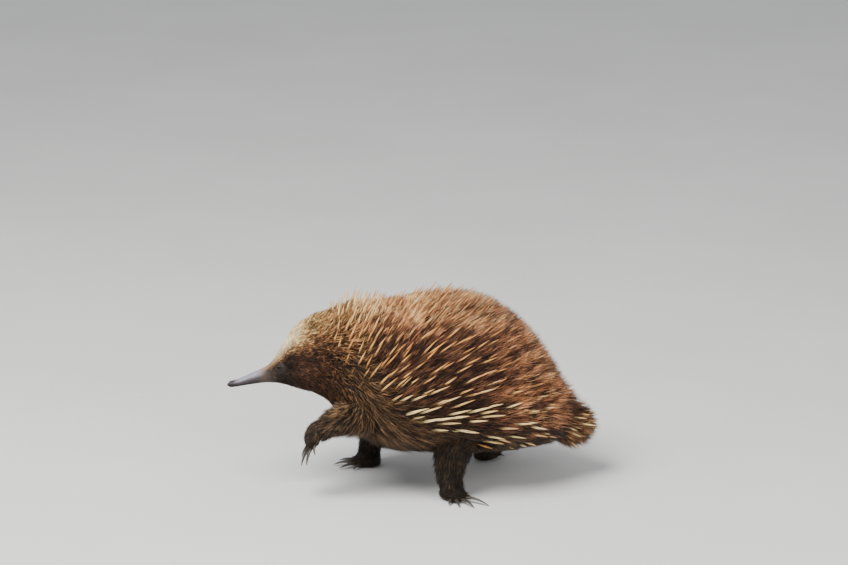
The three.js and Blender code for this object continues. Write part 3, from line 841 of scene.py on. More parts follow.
def scattered(draw, x_from, x_to, density):
    """Roots spread evenly over the trunk between two places. density gives the strands for each square mm."""
    step_x, step_turn = 2.0, 2 * math.pi / 200
    xs = np.arange(x_from, x_to, step_x) + step_x / 2
    turns = (np.arange(200) + 0.5) * step_turn
    x, turn = (v.reshape(-1) for v in np.meshgrid(xs, turns, indexing="ij"))
    along = (skin_point(x + 0.5, turn) - skin_point(x - 0.5, turn)) * step_x
    around = (skin_point(x, turn + 0.01) - skin_point(x, turn - 0.01)) / 0.02 * step_turn
    area = np.linalg.norm(np.cross(along, around), axis=1)
    wanted = area * density(skin_point(x, turn), x, turn)
    number = np.floor(wanted + draw.random(len(wanted))).astype(int)
    x, turn = np.repeat(x, number), np.repeat(turn, number)
    x = x + (draw.random(len(x)) - 0.5) * step_x
    turn = turn + (draw.random(len(x)) - 0.5) * step_turn
    return x, turn


def tufts(x, turn, root, pitch, draw_seed):
    """The way from each root to the middle of its tuft, and the tuft's own chance number."""
    column = np.floor(x / pitch)
    middle_x = (column + 0.5) * pitch
    girth = math.pi * (half_at(middle_x) + (top_at(middle_x) - bottom_at(middle_x)) / 2)
    around = np.maximum(np.round(girth / pitch), 5)
    row = np.floor(np.mod(turn, 2 * math.pi) / (2 * math.pi) * around)
    jitter = np.sin(column * 12.9898 + row * 78.233 + draw_seed) * 43758.5453
    jitter -= np.floor(jitter)
    centre_x = middle_x + (jitter - 0.5) * pitch * 0.6
    centre_turn = (row + 0.2 + 0.6 * np.mod(jitter * 7.31, 1)) / around * 2 * math.pi
    return skin_point(centre_x, centre_turn) - root, np.mod(jitter * 91.7, 1)


def body_uv(x, turn):
    u = (x - TRUNK_START) / (TRUNK_END - TRUNK_START)
    v = np.mod(turn, 2 * math.pi) / (2 * math.pi)
    return np.stack([0.01 + 0.98 * u, 0.01 + 0.98 * v], axis=-1)


def wavering(points, size, strength):
    """A slow change of direction over the coat."""
    p = points / size
    wave = np.stack([
        np.sin(p[:, 1] * 1.7 + p[:, 2] * 2.3),
        np.sin(p[:, 2] * 1.9 + p[:, 0] * 2.1 + 1.3),
        np.sin(p[:, 0] * 2.2 + p[:, 1] * 1.6 + 2.1),
    ], axis=-1)
    return wave * strength


PALEST = 0.95


def tuft_tones(chance):
    """How bright each tuft is. chance is one number from 0 to 1 for each hair, the same all over a tuft."""
    dark = 0.12 + 0.28 * chance / 0.4
    middle = 0.5 + 0.7 * (chance - 0.4) / 0.32
    pale = 1.5 + 1.7 * (chance - 0.72) / 0.28
    return np.where(chance < 0.4, dark, np.where(chance < 0.72, middle, pale))


def patch_chance(points, size):
    """A number from 0 to 1 for each point, the same all over a small patch."""
    cell = np.floor(points / size)
    chance = np.sin(dot(cell, np.array([12.9898, 78.233, 37.719]))) * 43758.5453
    return chance - np.floor(chance)


def coat_tints(draw, tint, chance, contrast, root_shade, mid_shade, pale_tip, grizzle):
    """Root, middle and tip colours: painted shade darkens the root, less on cream hair, and the middle, and
    the paler tufts are pale at the tip.

    grizzle is the share of hairs whose tone is their own and not their tuft's."""
    count = len(tint)
    chance = np.where(draw.random(count) < grizzle, draw.random(count), chance)
    tone = tuft_tones(chance) ** contrast * np.exp(draw.normal(0, 0.22, count))
    warm = np.exp(draw.normal(0, 0.08, (count, 1)) * np.array([1.0, 0.1, -1.0]))
    cream = smoothstep(tint[:, 0], 0.5, 0.9)
    tone = tone + (1.25 - tone) * 0.35 * cream
    base = tint * tone[:, None] * warm
    pale = smoothstep(chance, 0.7, 1.0)
    tip = base * (1 + (pale_tip - 1) * pale)[:, None]
    light = INK["pale_tip"] * np.clip(tint[:, :1] * 5, 0.25, 1)
    tip = mix(tip, light, (0.35 + 0.35 * grizzle) * pale)
    # Painted shade deep in the coat: the roots are darkest, less so on cream hair, and the middles are darker
    # than the tips
    root = base * (root_shade + (0.85 - root_shade) * cream)[:, None]
    return tuple(np.clip(colour, 0, PALEST) for colour in (root, base * mid_shade, tip))


# How far under a leg's widest reach the trunk's own coat may still grow, in mm
LIMB_CORE = 4


def limb_rooms():
    """Balls along the limbs, where the trunk's own coat doesn't grow."""
    s = np.linspace(0, 1, 13)
    rooms = []
    for limb in LIMBS.values():
        rooms.extend(zip(limb_curve(limb)(s), limb_radius(limb, s) - LIMB_CORE))
    return rooms


def clear_of_limbs(points):
    clear = np.ones(len(points), bool)
    for centre, radius in limb_rooms():
        clear &= np.linalg.norm(points - centre, axis=1) > radius
    return clear


HAIR_SINK = 0.8


def trunk_hair(draw, x_from, x_to, density, lean, length, width, clump, pull, mess, contrast, droop, shades):
    """Hair over a part of the trunk. lean, length and width are functions of point, x and turn.

    clump is the distance between tufts and pull how far hairs bend to the middle of theirs. mess spreads the
    hair's lie, and shades are the last four values of coat_tints."""
    x, turn = scattered(draw, x_from, x_to, density)
    root = skin_point(x, turn)
    keep = clear_of_limbs(root)
    x, turn, root = x[keep], turn[keep], root[keep]
    normal = skin_normal(x, turn)
    contrast = contrast + 0.3 * bristly(root)
    lie = unit(mix(hair_lie(root, normal, lean(root, x, turn)), spine_lie(root), spined_share(root)))
    lie = unit(lie + wavering(root, 9, mess * 0.6) + draw.normal(0, mess, root.shape))
    lie = unit(lie + normal * np.maximum(0.12 - dot(lie, normal), 0)[:, None])
    count = len(root)
    rise = np.maximum(dot(lie, normal), 0.2)
    long = length(root, x, turn, rise) * draw.uniform(0.78, 1.15, count)
    offset, chance = tufts(x, turn, root, clump, 3.7)
    bend = offset * pull / np.maximum(long, 1)[:, None]
    bend = bend - normal * (droop * draw.uniform(0.4, 1.4, count))[:, None]
    tint = body_tint(root + draw.normal(0, 2.4, root.shape), turn + draw.normal(0, 0.08, count))
    tints = coat_tints(draw, tint, chance, contrast, *shades)
    wide = width(root, x, turn) * draw.uniform(0.8, 1.2, count)
    root = root - normal * HAIR_SINK
    return strand_set(draw, root, lie, normal, bend, long + HAIR_SINK, wide, tints, body_uv(x, turn))


def only(hair, keep):
    return {key: value[keep] if isinstance(value, np.ndarray) else value for key, value in hair.items()}


def split_hair(hair, parts):
    """hair in nearly equal parts along x, so that no piece is too heavy."""
    order = np.argsort(hair["root"][:, 0])
    for chosen in np.array_split(order, parts):
        yield only(hair, chosen)


def ride_root(made, slot_name, *nodes):
    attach(made, "root")
    if nodes:
        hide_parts(*nodes)


def dress(made, material):
    made.data.materials.clear()
    made.data.materials.append(material)


def set_spines(name, hair):
    made = strands(name, hair, **SPINE_FORM)
    dress(made, finish("spine_keratin"))
    ride_root(made, "spined_coat")


def lay_fur(name, hair, slot_name):
    """The hair as one or more pieces, none of them too heavy."""
    each = len(strand_triangles(HAIR_FORM["sides"], len(HAIR_FORM["stations"])))
    parts = math.ceil(len(hair["root"]) * each / PIECE_TRIANGLES)
    for i, part in enumerate(split_hair(hair, parts)):
        made = strands(name if parts == 1 else name + "_" + str(i + 1), part, **HAIR_FORM)
        dress(made, finish("coarse_hair"))
        ride_root(made, slot_name)


# Properties

class SkinSettings(bpy.types.PropertyGroup):
    ring_step: FloatProperty(name="Head ring step", description="Distance between rings on the head",
                             default=0.0008, min=0.0004, unit="LENGTH")
    rounds: IntProperty(name="Points round", description="Points round each ring", default=176, min=64)
    coat_room: FloatProperty(name="Leg coat", description="How far the legs' skin lies under their fur",
                             default=0.0025, min=0, unit="LENGTH")


class CoatSettings(bpy.types.PropertyGroup):
    seed: IntProperty(name="Seed", description="Seed of the random draw", default=20417)
    density: FloatProperty(name="Density", description="Share of the full number of hairs",
                           default=0.97, min=0.1, max=1.1)
    fur_depth: FloatProperty(name="Fur depth", description="The back's fur as a share of the spines' reach",
                             default=0.64, min=0.2, max=1)
    back_width: FloatProperty(name="Back hair width", description="Width of a hair on the back",
                              default=0.00085, unit="LENGTH")


class SpineSettings(bpy.types.PropertyGroup):
    pitch: FloatProperty(name="Pitch", description="Distance between spines",
                         default=0.0152, min=0.008, unit="LENGTH")
    width: FloatProperty(name="Width", description="Width of a spine at its broadest",
                         default=0.0031, unit="LENGTH")
    longest: FloatProperty(name="Longest", description="Length of the longest spines",
                           default=0.046, unit="LENGTH")
    cream: FloatVectorProperty(name="Cream", description="Colour of the spines on the flank", subtype="COLOR",
                               default=tuple(linear(TINTS["spine_cream"])), min=0, max=1)


class EyeSettings(bpy.types.PropertyGroup):
    colour: FloatVectorProperty(name="Colour", description="Colour of the eye", subtype="COLOR",
                                default=tuple(linear((20, 13, 9))), min=0, max=1)


class ClawSettings(bpy.types.PropertyGroup):
    colour: FloatVectorProperty(name="Colour", description="Colour of the claws", subtype="COLOR",
                                default=tuple(linear((74, 62, 52))), min=0, max=1)


class StageSettings(bpy.types.PropertyGroup):
    azimuth: FloatProperty(name="Azimuth", description="Camera's turn towards the head",
                           default=math.radians(-6), subtype="ANGLE")
    elevation: FloatProperty(name="Elevation", description="Camera's height angle",
                             default=math.radians(15), subtype="ANGLE")
    distance: FloatProperty(name="Distance", description="Camera's distance", default=4.0, unit="LENGTH")
    key: FloatProperty(name="Key light", description="Power of the large light above", default=122.0)
    sky: FloatProperty(name="Sky", description="Strength of the light from all round", default=0.6)


class EchidnaSettings(bpy.types.PropertyGroup):
    skin: PointerProperty(type=SkinSettings)
    coat: PointerProperty(type=CoatSettings)
    spines: PointerProperty(type=SpineSettings)
    eyes: PointerProperty(type=EyeSettings)
    claws: PointerProperty(type=ClawSettings)
    stage: PointerProperty(type=StageSettings)


# Pieces

def trunk_rings(settings):
    """Where the trunk's rings stand: closest on the beak's tip, then the head."""
    step = settings.ring_step / MM
    tip = np.arange(TRUNK_START, -205, step * 0.45)
    head = np.arange(-205, -118, step)
    trunk = np.linspace(-118, TRUNK_END, 100)
    return np.concatenate([tip, head, trunk])


def nostril_gap(points, side):
    """How far points are from a nostril's middle. Its rim is at about 1."""
    ahead = (points[..., 0] - NOSTRIL["x"]) / NOSTRIL["length"]
    aside = (points[..., 1] - side * NOSTRIL["y"]) / NOSTRIL["width"]
    return np.sqrt(ahead ** 2 + aside ** 2)


def with_lids(push, points, side):
    """push with the lids, the folds round them and the hole that the eye stands in."""
    centre, out = eye_centre(side)
    away = points - centre
    under = dot(away, out)
    flat = np.linalg.norm(away - out * under[..., None], axis=-1)
    ball = np.sqrt(np.maximum(EYE["radius"] ** 2 - flat**2, 0))
    over_ball = np.maximum(ball + 0.35 - under, 0) * (1 - smoothstep(flat, 4.0, 5.0))
    lid = over_ball + 0.9 * (1 - smoothstep(flat, 3, 8.5)) * smoothstep(flat, 3, 4.6)
    lid += 0.22 * np.sin(flat * 4.2) * smoothstep(flat, 4, 5) * (1 - smoothstep(flat, 6.5, 9))
    hole = 1 - smoothstep(flat, 2.2, 3.0)
    near = (under > -2) & (flat < 14)
    return np.where(near, lid * (1 - hole) - 2.4 * hole, push)


def face_forms(points):
    """How far the skin is pushed out or in for lids, nostrils, mouth, ears and folds."""
    x, y, z = points[..., 0], points[..., 1], points[..., 2]
    push = np.zeros(x.shape)
    on_top = z > NOSTRIL["above"]
    for side in (-1, 1):
        push = with_lids(push, points, side)
        nose = nostril_gap(points, side)
        push = push - NOSTRIL["depth"] * (1 - smoothstep(nose, 0.4, 1.1)) * on_top
        push = push + 0.35 * np.exp(-((nose - 1.5) / 0.4) ** 2) * on_top
        ear = np.sqrt(((x - EAR["x"]) / 2.2) ** 2 + ((z - EAR["z"]) / 6.5) ** 2)
        rim = 0.7 * np.exp(-((ear - 1.1) / 0.3) ** 2)
        push = push + (np.sign(y) == side) * (rim - 2.6 * (1 - smoothstep(ear, 0.3, 0.9)))
    closed = 1 - smoothstep(x, MOUTH["until"] - 2, MOUTH["until"])
    slit = np.exp(-((z - MOUTH["z"]) / MOUTH["gape"]) ** 2) * closed
    push = push - MOUTH["depth"] * slit
    beak = 1 - smoothstep(x, -178, -166)
    return push + beak * 0.06 * np.sin(x * 2.4 + np.sin(z * 0.9) * 1.5) * smoothstep(x, -214, -205)


def almond_rim(side):
    """The rim of the lids: an almond ring of round section over the eye."""
    centre, out = eye_centre(side)
    ahead = flat_on(np.array([[1.0, 0, 0.18]]), out[None])[0]
    up = np.cross(out, ahead) * (1 if np.cross(out, ahead)[2] > 0 else -1)
    rings = []
    steps = 48
    for i in range(steps):
        a = i / steps * 2 * math.pi
        corner = abs(math.cos(a)) ** 6 * 0.5
        flat = ahead * (3.15 + corner) * math.cos(a) + up * 2.35 * math.sin(a)
        reach = np.linalg.norm(flat)
        height = math.sqrt(max(EYE["radius"] ** 2 - reach**2, 0)) + 0.28
        middle = centre + flat + out * height
        across = unit(flat)
        rings.append([
            middle + (across * math.cos(b) + out * math.sin(b)) * (0.62 if math.sin(a) < 0 else 0.78)
            for b in points_round(10)
        ])
    rings = np.array(rings)
    faces = []
    for i in range(steps):
        n = (i + 1) % steps
        for j in range(10):
            k = (j + 1) % 10
            faces.append((i * 10 + j, i * 10 + k, n * 10 + k, n * 10 + j))
    return facing_out(mesh_object("lid_rim", rings.reshape(-1, 3), faces))


def trunk_skin(settings):
    """The trunk and head as one closed skin."""
    xs = trunk_rings(settings)
    turns = (np.arange(settings.rounds) + 0.5) / settings.rounds * 2 * math.pi
    x, turn = np.meshgrid(xs, turns, indexing="ij")
    points = skin_point(x, turn)
    normal = skin_normal(x, turn)
    points = points + normal * face_forms(points)[..., None]
    rings = list(points)
    front = points[0].mean(axis=0)
    for share, reach in ((0.93, 0.35), (0.78, 0.75), (0.55, 1.1), (0.28, 1.3)):
        rings.insert(0, front + (points[0] - front) * share - np.array([reach, 0, 0]))
    back = points[-1].mean(axis=0)
    for share, reach in ((0.9, 2.5), (0.7, 5), (0.4, 7)):
        rings.append(back + (points[-1] - back) * share + np.array([reach, 0, 0]))
    made = tube(rings, front - np.array([1.4, 0, 0]), back + np.array([7.6, 0, 0]))
    return facing_out(mesh_object("skin", *made))


LEG_STEPS = 24
TOE_STEPS = 16
TAIL_STEPS = 28
PALM_HEIGHT = 0.82
TOE_RINGS = ((0.0, 1.0), (0.35, 0.94), (0.6, 0.98), (0.78, 1.04), (0.92, 0.96), (1.0, 0.74))


def limb_skin(name, limb, settings):
    """A leg with its paw and toes, in one smooth surface."""
    thinner = settings.coat_room / MM
    angles = points_round(LEG_STEPS)
    rings = [limb_surface(limb, np.full(LEG_STEPS, s), angles, thinner)[0] for s in np.linspace(0, 1, 20)]
    parts = [mesh_object("tube", *tube(rings, rings[0].mean(axis=0), rings[-1].mean(axis=0)))]
    foot = FEET[limb["foot"]]
    matrix = foot_frame(limb)
    long, broad, high = foot["palm"]
    low = PALM_HEIGHT * high
    palm = []
    for s in np.linspace(0, math.pi, 14)[1:-1]:
        height = low - SOLE_SINK + np.sin(angles) * np.sin(s) * low
        ahead = -np.cos(s) * long * np.ones(LEG_STEPS)
        ring = np.stack([ahead, np.cos(angles) * np.sin(s) * broad, np.maximum(height, 0)], axis=-1)
        palm.append(in_frame(matrix, ring))
    ends = (in_frame(matrix, np.array([reach, 0, low - SOLE_SINK])) for reach in (-long, long))
    parts.append(mesh_object("palm", *tube(palm, *ends)))
    for turn, reach, _, _ in foot["digits"]:
        parts.append(mesh_object("toe", *toe_tube(limb, turn, reach)))
    for part in parts:
        facing_out(part)
    return remeshed(joined(name, parts), 1.1, 4)


def toe_tube(limb, turn, reach):
    out, across = toe_axes(limb, turn)
    angle = points_round(TOE_STEPS)
    rings = []
    for share, size in TOE_RINGS:
        r = FEET[limb["foot"]]["toe_radius"] * size
        ring = out * (2 + (reach - 2) * share) + across * (np.cos(angle) * r)[:, None]
        ring = ring + np.array([0, 0, 1]) * (CLAW_RISE + np.sin(angle) * r)[:, None]
        ring[:, 2] = np.maximum(ring[:, 2], 0)
        rings.append(in_frame(foot_frame(limb), ring))
    return tube(rings, rings[0].mean(axis=0), rings[-1].mean(axis=0))


def tail_skin():
    root, tip, _, across, over = tail_axes()
    angles = points_round(TAIL_STEPS)
    out = across * np.cos(angles)[:, None] + over * np.sin(angles)[:, None]
    rings = [root + (tip - root) * s + out * (TAIL["radius"] * math.sqrt(1 - s**4))
             for s in np.linspace(0, 0.985, 16)]
    return facing_out(mesh_object("tail_skin", *tube(rings, root, tip)))


def skin_tints(points):
    """The coat's own markings, with painted shade where hair hides the skin, in the nostrils and along the
    mouth, and bare skin on beak, lids and paws.
    """
    x, y, z = points[:, 0], points[:, 1], points[:, 2]
    level = bottom_at(x) + (top_at(x) - bottom_at(x)) * WIDEST
    rise = (z - level) / np.where(z > level, top_at(x) - level, level - bottom_at(x))
    tint = body_tint(points, np.arctan2(y / half_at(x), rise))
    # Painted shade: the skin is darkened where hair grows over it
    haired = smoothstep(x, -176, -166)
    tint = tint * (1 - 0.55 * haired)[:, None]
    for side in (-1, 1):
        gap = np.linalg.norm(points - eye_centre(side)[0], axis=1)
        tint = mix(tint, INK["eye_skin"], 0.85 * (1 - smoothstep(gap, 5.2, 8.0)))
        # Painted shade inside each nostril's pit
        inside = (1 - smoothstep(nostril_gap(points, side), 0.5, 1.2)) * (z > NOSTRIL["above"])
        tint = tint * (1 - 0.85 * inside)[:, None]
    # Painted shade along the mouth's slit
    closed = 1 - smoothstep(x, MOUTH["until"] - 1, MOUTH["until"] + 1)
    mouth = np.exp(-((z - MOUTH["z"]) / 0.5) ** 2) * closed
    tint = tint * (1 - 0.7 * mouth)[:, None]
    on_limb = ~inside_trunk(points, -2.5) & (x > -140)
    tint[on_limb] = INK["leg"] * 0.7
    # The tail's skin is darker still: painted shade under its fur
    tint[on_limb & (x > 140)] = INK["tail"] * 0.35
    return tint


class ECHIDNA_OT_skin(bpy.types.Operator):
    """Makes one skin for the beak, head, trunk, tail, legs and paws"""
    bl_idname = "echidna.skin"
    bl_label = "Skin"

    def execute(self, context):
        settings = context.scene.echidna.skin
        made = trunk_skin(settings)
        for side in (-1, 1):
            united(made, almond_rim(side))
        for name, limb in LIMBS.items():
            united(made, limb_skin("limb_" + name, limb, settings))
        united(made, tail_skin())
        made.data.polygons.foreach_set("use_smooth", np.ones(len(made.data.polygons), bool))
        tint_mesh(made, skin_tints)
        dress(made, finish("leathery_skin"))
        ride_root(made, "beak_skin", "beak", "head", "neck", "trunk_front", "trunk_rear", "tail",
                  "leg_fore_left", "leg_fore_right", "leg_hind_left", "leg_hind_right")
        return {"FINISHED"}


def seeded(context, step):
    """The random draw of one piece."""
    return np.random.default_rng(context.scene.echidna.coat.seed + step)


class ECHIDNA_OT_face_fur(bpy.types.Operator):
    """Lays the short flat fur of the face and forehead"""
    bl_idname = "echidna.face_fur"
    bl_label = "Face fur"

    def execute(self, context):
        coat = context.scene.echidna.coat
        draw = seeded(context, 1)

        def density(p, x, turn):
            ahead = smoothstep(x, -184, -174) * (1 - smoothstep(x, -132, -124))
            return coat.density * (5.2 - 3.3 * smoothstep(x, -158, -138)) * ahead

        hair = trunk_hair(
            draw, -184, -124, density,
            lean=lambda p, x, turn: 0.17 + 0.08 * smoothstep(x, -165, -130),
            length=lambda p, x, turn, rise: 3.4 + 5.1 * smoothstep(x, -178, -132),
            width=lambda p, x, turn: 0.34 + 0.16 * smoothstep(x, -172, -135),
            clump=2.8, pull=0.5, mess=0.1, contrast=0.85, droop=0.04, shades=(0.4, 0.95, 1.5, 0.5),
        )
        keep = np.ones(len(hair["root"]), bool)
        for side in (-1, 1):
            gap = np.linalg.norm(hair["root"] - eye_centre(side)[0], axis=1)
            keep &= gap > draw.uniform(4.6, 5.6, len(gap))
        lay_fur("fur_face", only(hair, keep), "face_fur")
        return {"FINISHED"}


def bristly(points):
    """1 low on the rump, where the coat is coarsest."""
    return smoothstep(points[..., 0], 20, 90) * (1 - smoothstep(points[..., 2], 85, 135))


def trunk_hair_length(p, x, turn, rise):
    """Hair reaches the coat's depth beside the spines, and nearly so among them."""
    depth = coat_depth(x, turn)
    rump = 0.24 * smoothstep(x, 10, 110) * smoothstep(p[..., 2], 80, 130)
    back = 0.1 * smoothstep(np.cos(turn), 0.2, 0.8)
    among = bpy.context.scene.echidna.coat.fur_depth + np.maximum(rump, 0.34 * bristly(p)) + back
    share = 0.95 + (among - 0.95) * spined_share(p)
    over_tail = smoothstep(x, 128, 160) * (1 - smoothstep(p[..., 2], 95, 128))
    longest = 7 + 29 * smoothstep(x, -138, -70) + 5 * over_tail
    return np.minimum(depth * (share + 0.38 * over_tail) / rise, longest)


class ECHIDNA_OT_neck_fur(bpy.types.Operator):
    """Lays the thicker fur of the crown, cheeks and neck"""
    bl_idname = "echidna.neck_fur"
    bl_label = "Crown and neck fur"

    def execute(self, context):
        coat = context.scene.echidna.coat
        draw = seeded(context, 2)

        def density(p, x, turn):
            ahead = smoothstep(x, -132, -124) * (1 - smoothstep(x, -94, -82))
            return coat.density * ahead * 1.0

        hair = trunk_hair(
            draw, -132, -82, density,
            lean=lambda p, x, turn: 0.24 + 0.6 * smoothstep(x, -128, -104),
            length=trunk_hair_length,
            width=lambda p, x, turn: 0.5 + 0.2 * smoothstep(x, -125, -95),
            clump=3.2, pull=0.7, mess=0.2, contrast=1.25, droop=0.06, shades=(0.08, 0.72, 1.5, 0.5),
        )
        lay_fur("fur_neck", hair, "neck_fur")
        return {"FINISHED"}


class ECHIDNA_OT_back_fur(bpy.types.Operator):
    """Lays the dense bristly fur between the spines of the back, flanks and rump"""
    bl_idname = "echidna.back_fur"
    bl_label = "Back fur"

    def execute(self, context):
        coat = context.scene.echidna.coat
        draw = seeded(context, 3)

        def density(p, x, turn):
            return coat.density * 0.5 * spined_share(p) * smoothstep(x, -94, -82)

        hair = trunk_hair(
            draw, -94, TRUNK_END, density,
            lean=lambda p, x, turn: np.full(len(x), 0.42),
            length=trunk_hair_length,
            width=lambda p, x, turn: coat.back_width / MM * (1 + 0.25 * bristly(p)),
            clump=4.6, pull=0.85, mess=0.11, contrast=1.2, droop=0.05, shades=(0.05, 0.72, 1.35, 0.12),
        )
        lay_fur("fur_back", hair, "spined_coat")
        return {"FINISHED"}


class ECHIDNA_OT_side_fur(bpy.types.Operator):
    """Lays the long soft fur of the shoulders, chest and belly"""
    bl_idname = "echidna.side_fur"
    bl_label = "Shoulder and belly fur"

    def execute(self, context):
        coat = context.scene.echidna.coat
        draw = seeded(context, 4)

        def density(p, x, turn):
            below = 0.3 * smoothstep(-np.cos(turn), 0.5, 0.9)
            return coat.density * (0.86 - below) * (1 - spined_share(p)) * smoothstep(x, -94, -82)

        hair = trunk_hair(
            draw, -94, 160, density,
            lean=lambda p, x, turn: 0.5 - 0.08 * smoothstep(x, -80, -50),
            length=trunk_hair_length,
            width=lambda p, x, turn: np.full(len(x), 0.68),
            clump=4.0, pull=0.6, mess=0.14, contrast=1.35, droop=0.12, shades=(0.08, 0.8, 1.5, 0.7),
        )
        lay_fur("fur_side", hair, "spined_coat")
        return {"FINISHED"}


SHORT_SINK = 0.6
LEG_CELLS = 60
LEG_DENSITY = 0.72

# Hairs on a paw and on each of its toes at a density of 1
PAW_HAIRS = 3625
TOE_HAIRS = 325
UP = np.array([0, 0, 1])


def shin_hair(draw, limb, density, thinner):
    """Roots down a leg, with their outward normals, the hair's lie and length, and their places uv."""
    cells = np.linspace(0, 1, LEG_CELLS)
    step = np.linalg.norm(np.diff(limb_curve(limb)(cells), axis=0), axis=1)
    area = step * limb_radius(limb, cells[:-1] + 0.008) * 2 * math.pi
    number = np.floor(area * density + draw.random(len(step))).astype(int)
    s = np.repeat(cells[:-1], number) + draw.random(number.sum()) / (LEG_CELLS - 1)
    angle = draw.uniform(0, 2 * math.pi, len(s))
    root, out, along = limb_surface(limb, s, angle, thinner)
    keep = ~inside_trunk(root, 1.0) & (root[:, 2] > 3)
    s, angle, root, out, along = s[keep], angle[keep], root[keep], out[keep], along[keep]
    upper = (1 - smoothstep(s, 0.2, 0.75)) * (1 if limb["pitch"] else 0)
    down = flat_on(np.broadcast_to(np.array([0.25, 0, -1.0]), root.shape), out)
    lie = mix(along, down, 0.6 * upper)
    lie = unit(lie + out * 0.34 + draw.normal(0, 0.14, root.shape) + wavering(root, 7, 0.1))
    uv = np.stack([0.02 + 0.6 * s, 0.02 + 0.96 * angle / (2 * math.pi)], axis=-1)
    return root, out, lie, 14 - 5 * s + 7 * upper, uv


def paw_hair(draw, limb, density):
    """Roots over the paw and its toes in the foot's own axes, with their normals and the hair's lie."""
    foot = FEET[limb["foot"]]
    long, broad, high = foot["palm"]
    size = np.array([long, broad, PALM_HEIGHT * high])
    count = int(PAW_HAIRS * density)
    a = draw.uniform(0, 2 * math.pi, count)
    b = np.arccos(draw.uniform(-1, 1, count))
    shape = np.stack([np.cos(b), np.cos(a) * np.sin(b), np.sin(a) * np.sin(b)], axis=-1)
    out = unit(shape / size)
    ahead = np.broadcast_to(np.array([1.0, 0, -0.1]), shape.shape)
    lie = unit(flat_on(ahead, out) + out * 0.32 + draw.normal(0, 0.14, shape.shape))
    parts = [(shape * size + np.array([0, 0, size[2] - SOLE_SINK]), out, lie)]
    for turn, reach, _, _ in foot["digits"]:
        forward, across = toe_axes(limb, turn)
        number = int(TOE_HAIRS * density)
        share = draw.uniform(0.3, 0.98, number)
        angle = draw.uniform(-0.1, math.pi + 0.1, number)
        out = across * np.cos(angle)[:, None] + UP * np.sin(angle)[:, None]
        place = forward * (reach * share)[:, None] + out * foot["toe_radius"] * 0.9
        place[:, 2] += CLAW_RISE
        parts.append((place, out, unit(forward + out * 0.3 + draw.normal(0, 0.12, place.shape))))
    place, out, lie = (np.vstack(rows) for rows in zip(*parts))
    keep = place[:, 2] > 2.6
    return place[keep], out[keep], lie[keep]


def limb_hair(draw, limb, density, thinner):
    """Fur down a leg and over the top of its paw."""
    root, out, lie, long, uv = shin_hair(draw, limb, density, thinner)
    place, paw_out, paw_lie = paw_hair(draw, limb, density)
    matrix = foot_frame(limb)
    turned = matrix[:3, :3].T
    paw_uv = np.stack([0.82 + place[:, 0] / 250, 0.5 + place[:, 1] / 60], axis=-1)
    root = np.vstack([root, in_frame(matrix, place)])
    out = np.vstack([out, paw_out @ turned])
    lie = np.vstack([lie, paw_lie @ turned])
    uv = np.vstack([uv, paw_uv])
    long = np.concatenate([long, np.full(len(place), 6.5)]) * draw.uniform(0.75, 1.2, len(root))
    high_up = smoothstep(root[:, 2], 60, 115)
    tint = mix(INK["leg"], INK["shoulder"], high_up)
    contrast = 0.85 + 0.4 * high_up
    tints = coat_tints(draw, tint, patch_chance(root, 5.0), contrast, 0.08, 0.8, 1.5, 0.55)
    bend = -out * 0.12 + draw.normal(0, 0.06, root.shape)
    sinking = np.maximum(-(lie + bend)[:, 2], 0.05)
    long = np.minimum(long, np.maximum(root[:, 2] - 0.4, 0.6) / sinking)
    wide = np.clip(long * 0.055, 0.38, 0.68)
    return strand_set(draw, root - out * SHORT_SINK, lie, out, bend, long, wide, tints, uv)


class ECHIDNA_OT_leg_fur(bpy.types.Operator):
    """Lays the fur of the legs and paws"""
    bl_idname = "echidna.leg_fur"
    bl_label = "Leg fur"

    def execute(self, context):
        settings = context.scene.echidna
        draw = seeded(context, 5)
        for name, limb in LIMBS.items():
            hair = limb_hair(draw, limb, LEG_DENSITY * settings.coat.density, settings.skin.coat_room / MM)
            lay_fur("fur_leg_" + name, hair, "leg_fur")
        return {"FINISHED"}


# Tufts on the tail at full density, and the hairs in each
TAIL_TUFTS = 400
TUFT_HAIRS = 17


def tail_uv(s, a):
    return np.stack([0.02 + 0.96 * s, 0.02 + 0.96 * a / (2 * math.pi)], axis=-1)


def tail_roots(draw, count):
    """Places over the stub, with their outward normals."""
    root, tip, along, across, over = tail_axes()
    s = np.sqrt(draw.uniform(0.12, 1.0, count))
    a = draw.uniform(0, 2 * math.pi, count)
    wide = np.sqrt(np.clip(1 - (s * 0.985) ** 4, 0.02, 1)) * draw.uniform(0.92, 1, count)
    wide = np.where(s > 0.93, wide * np.sqrt(draw.random(count)), wide)
    out = across * np.cos(a)[:, None] + over * np.sin(a)[:, None]
    place = root + (tip - root) * s[:, None] + out * (TAIL["radius"] * wide)[:, None]
    fan = 0.5 - 0.25 * smoothstep(s, 0.5, 1.0)
    lie = unit(along * np.cos(fan)[:, None] + out * (np.sin(fan) * np.clip(wide + 0.2, 0, 1))[:, None])
    return s, a, place, out, lie


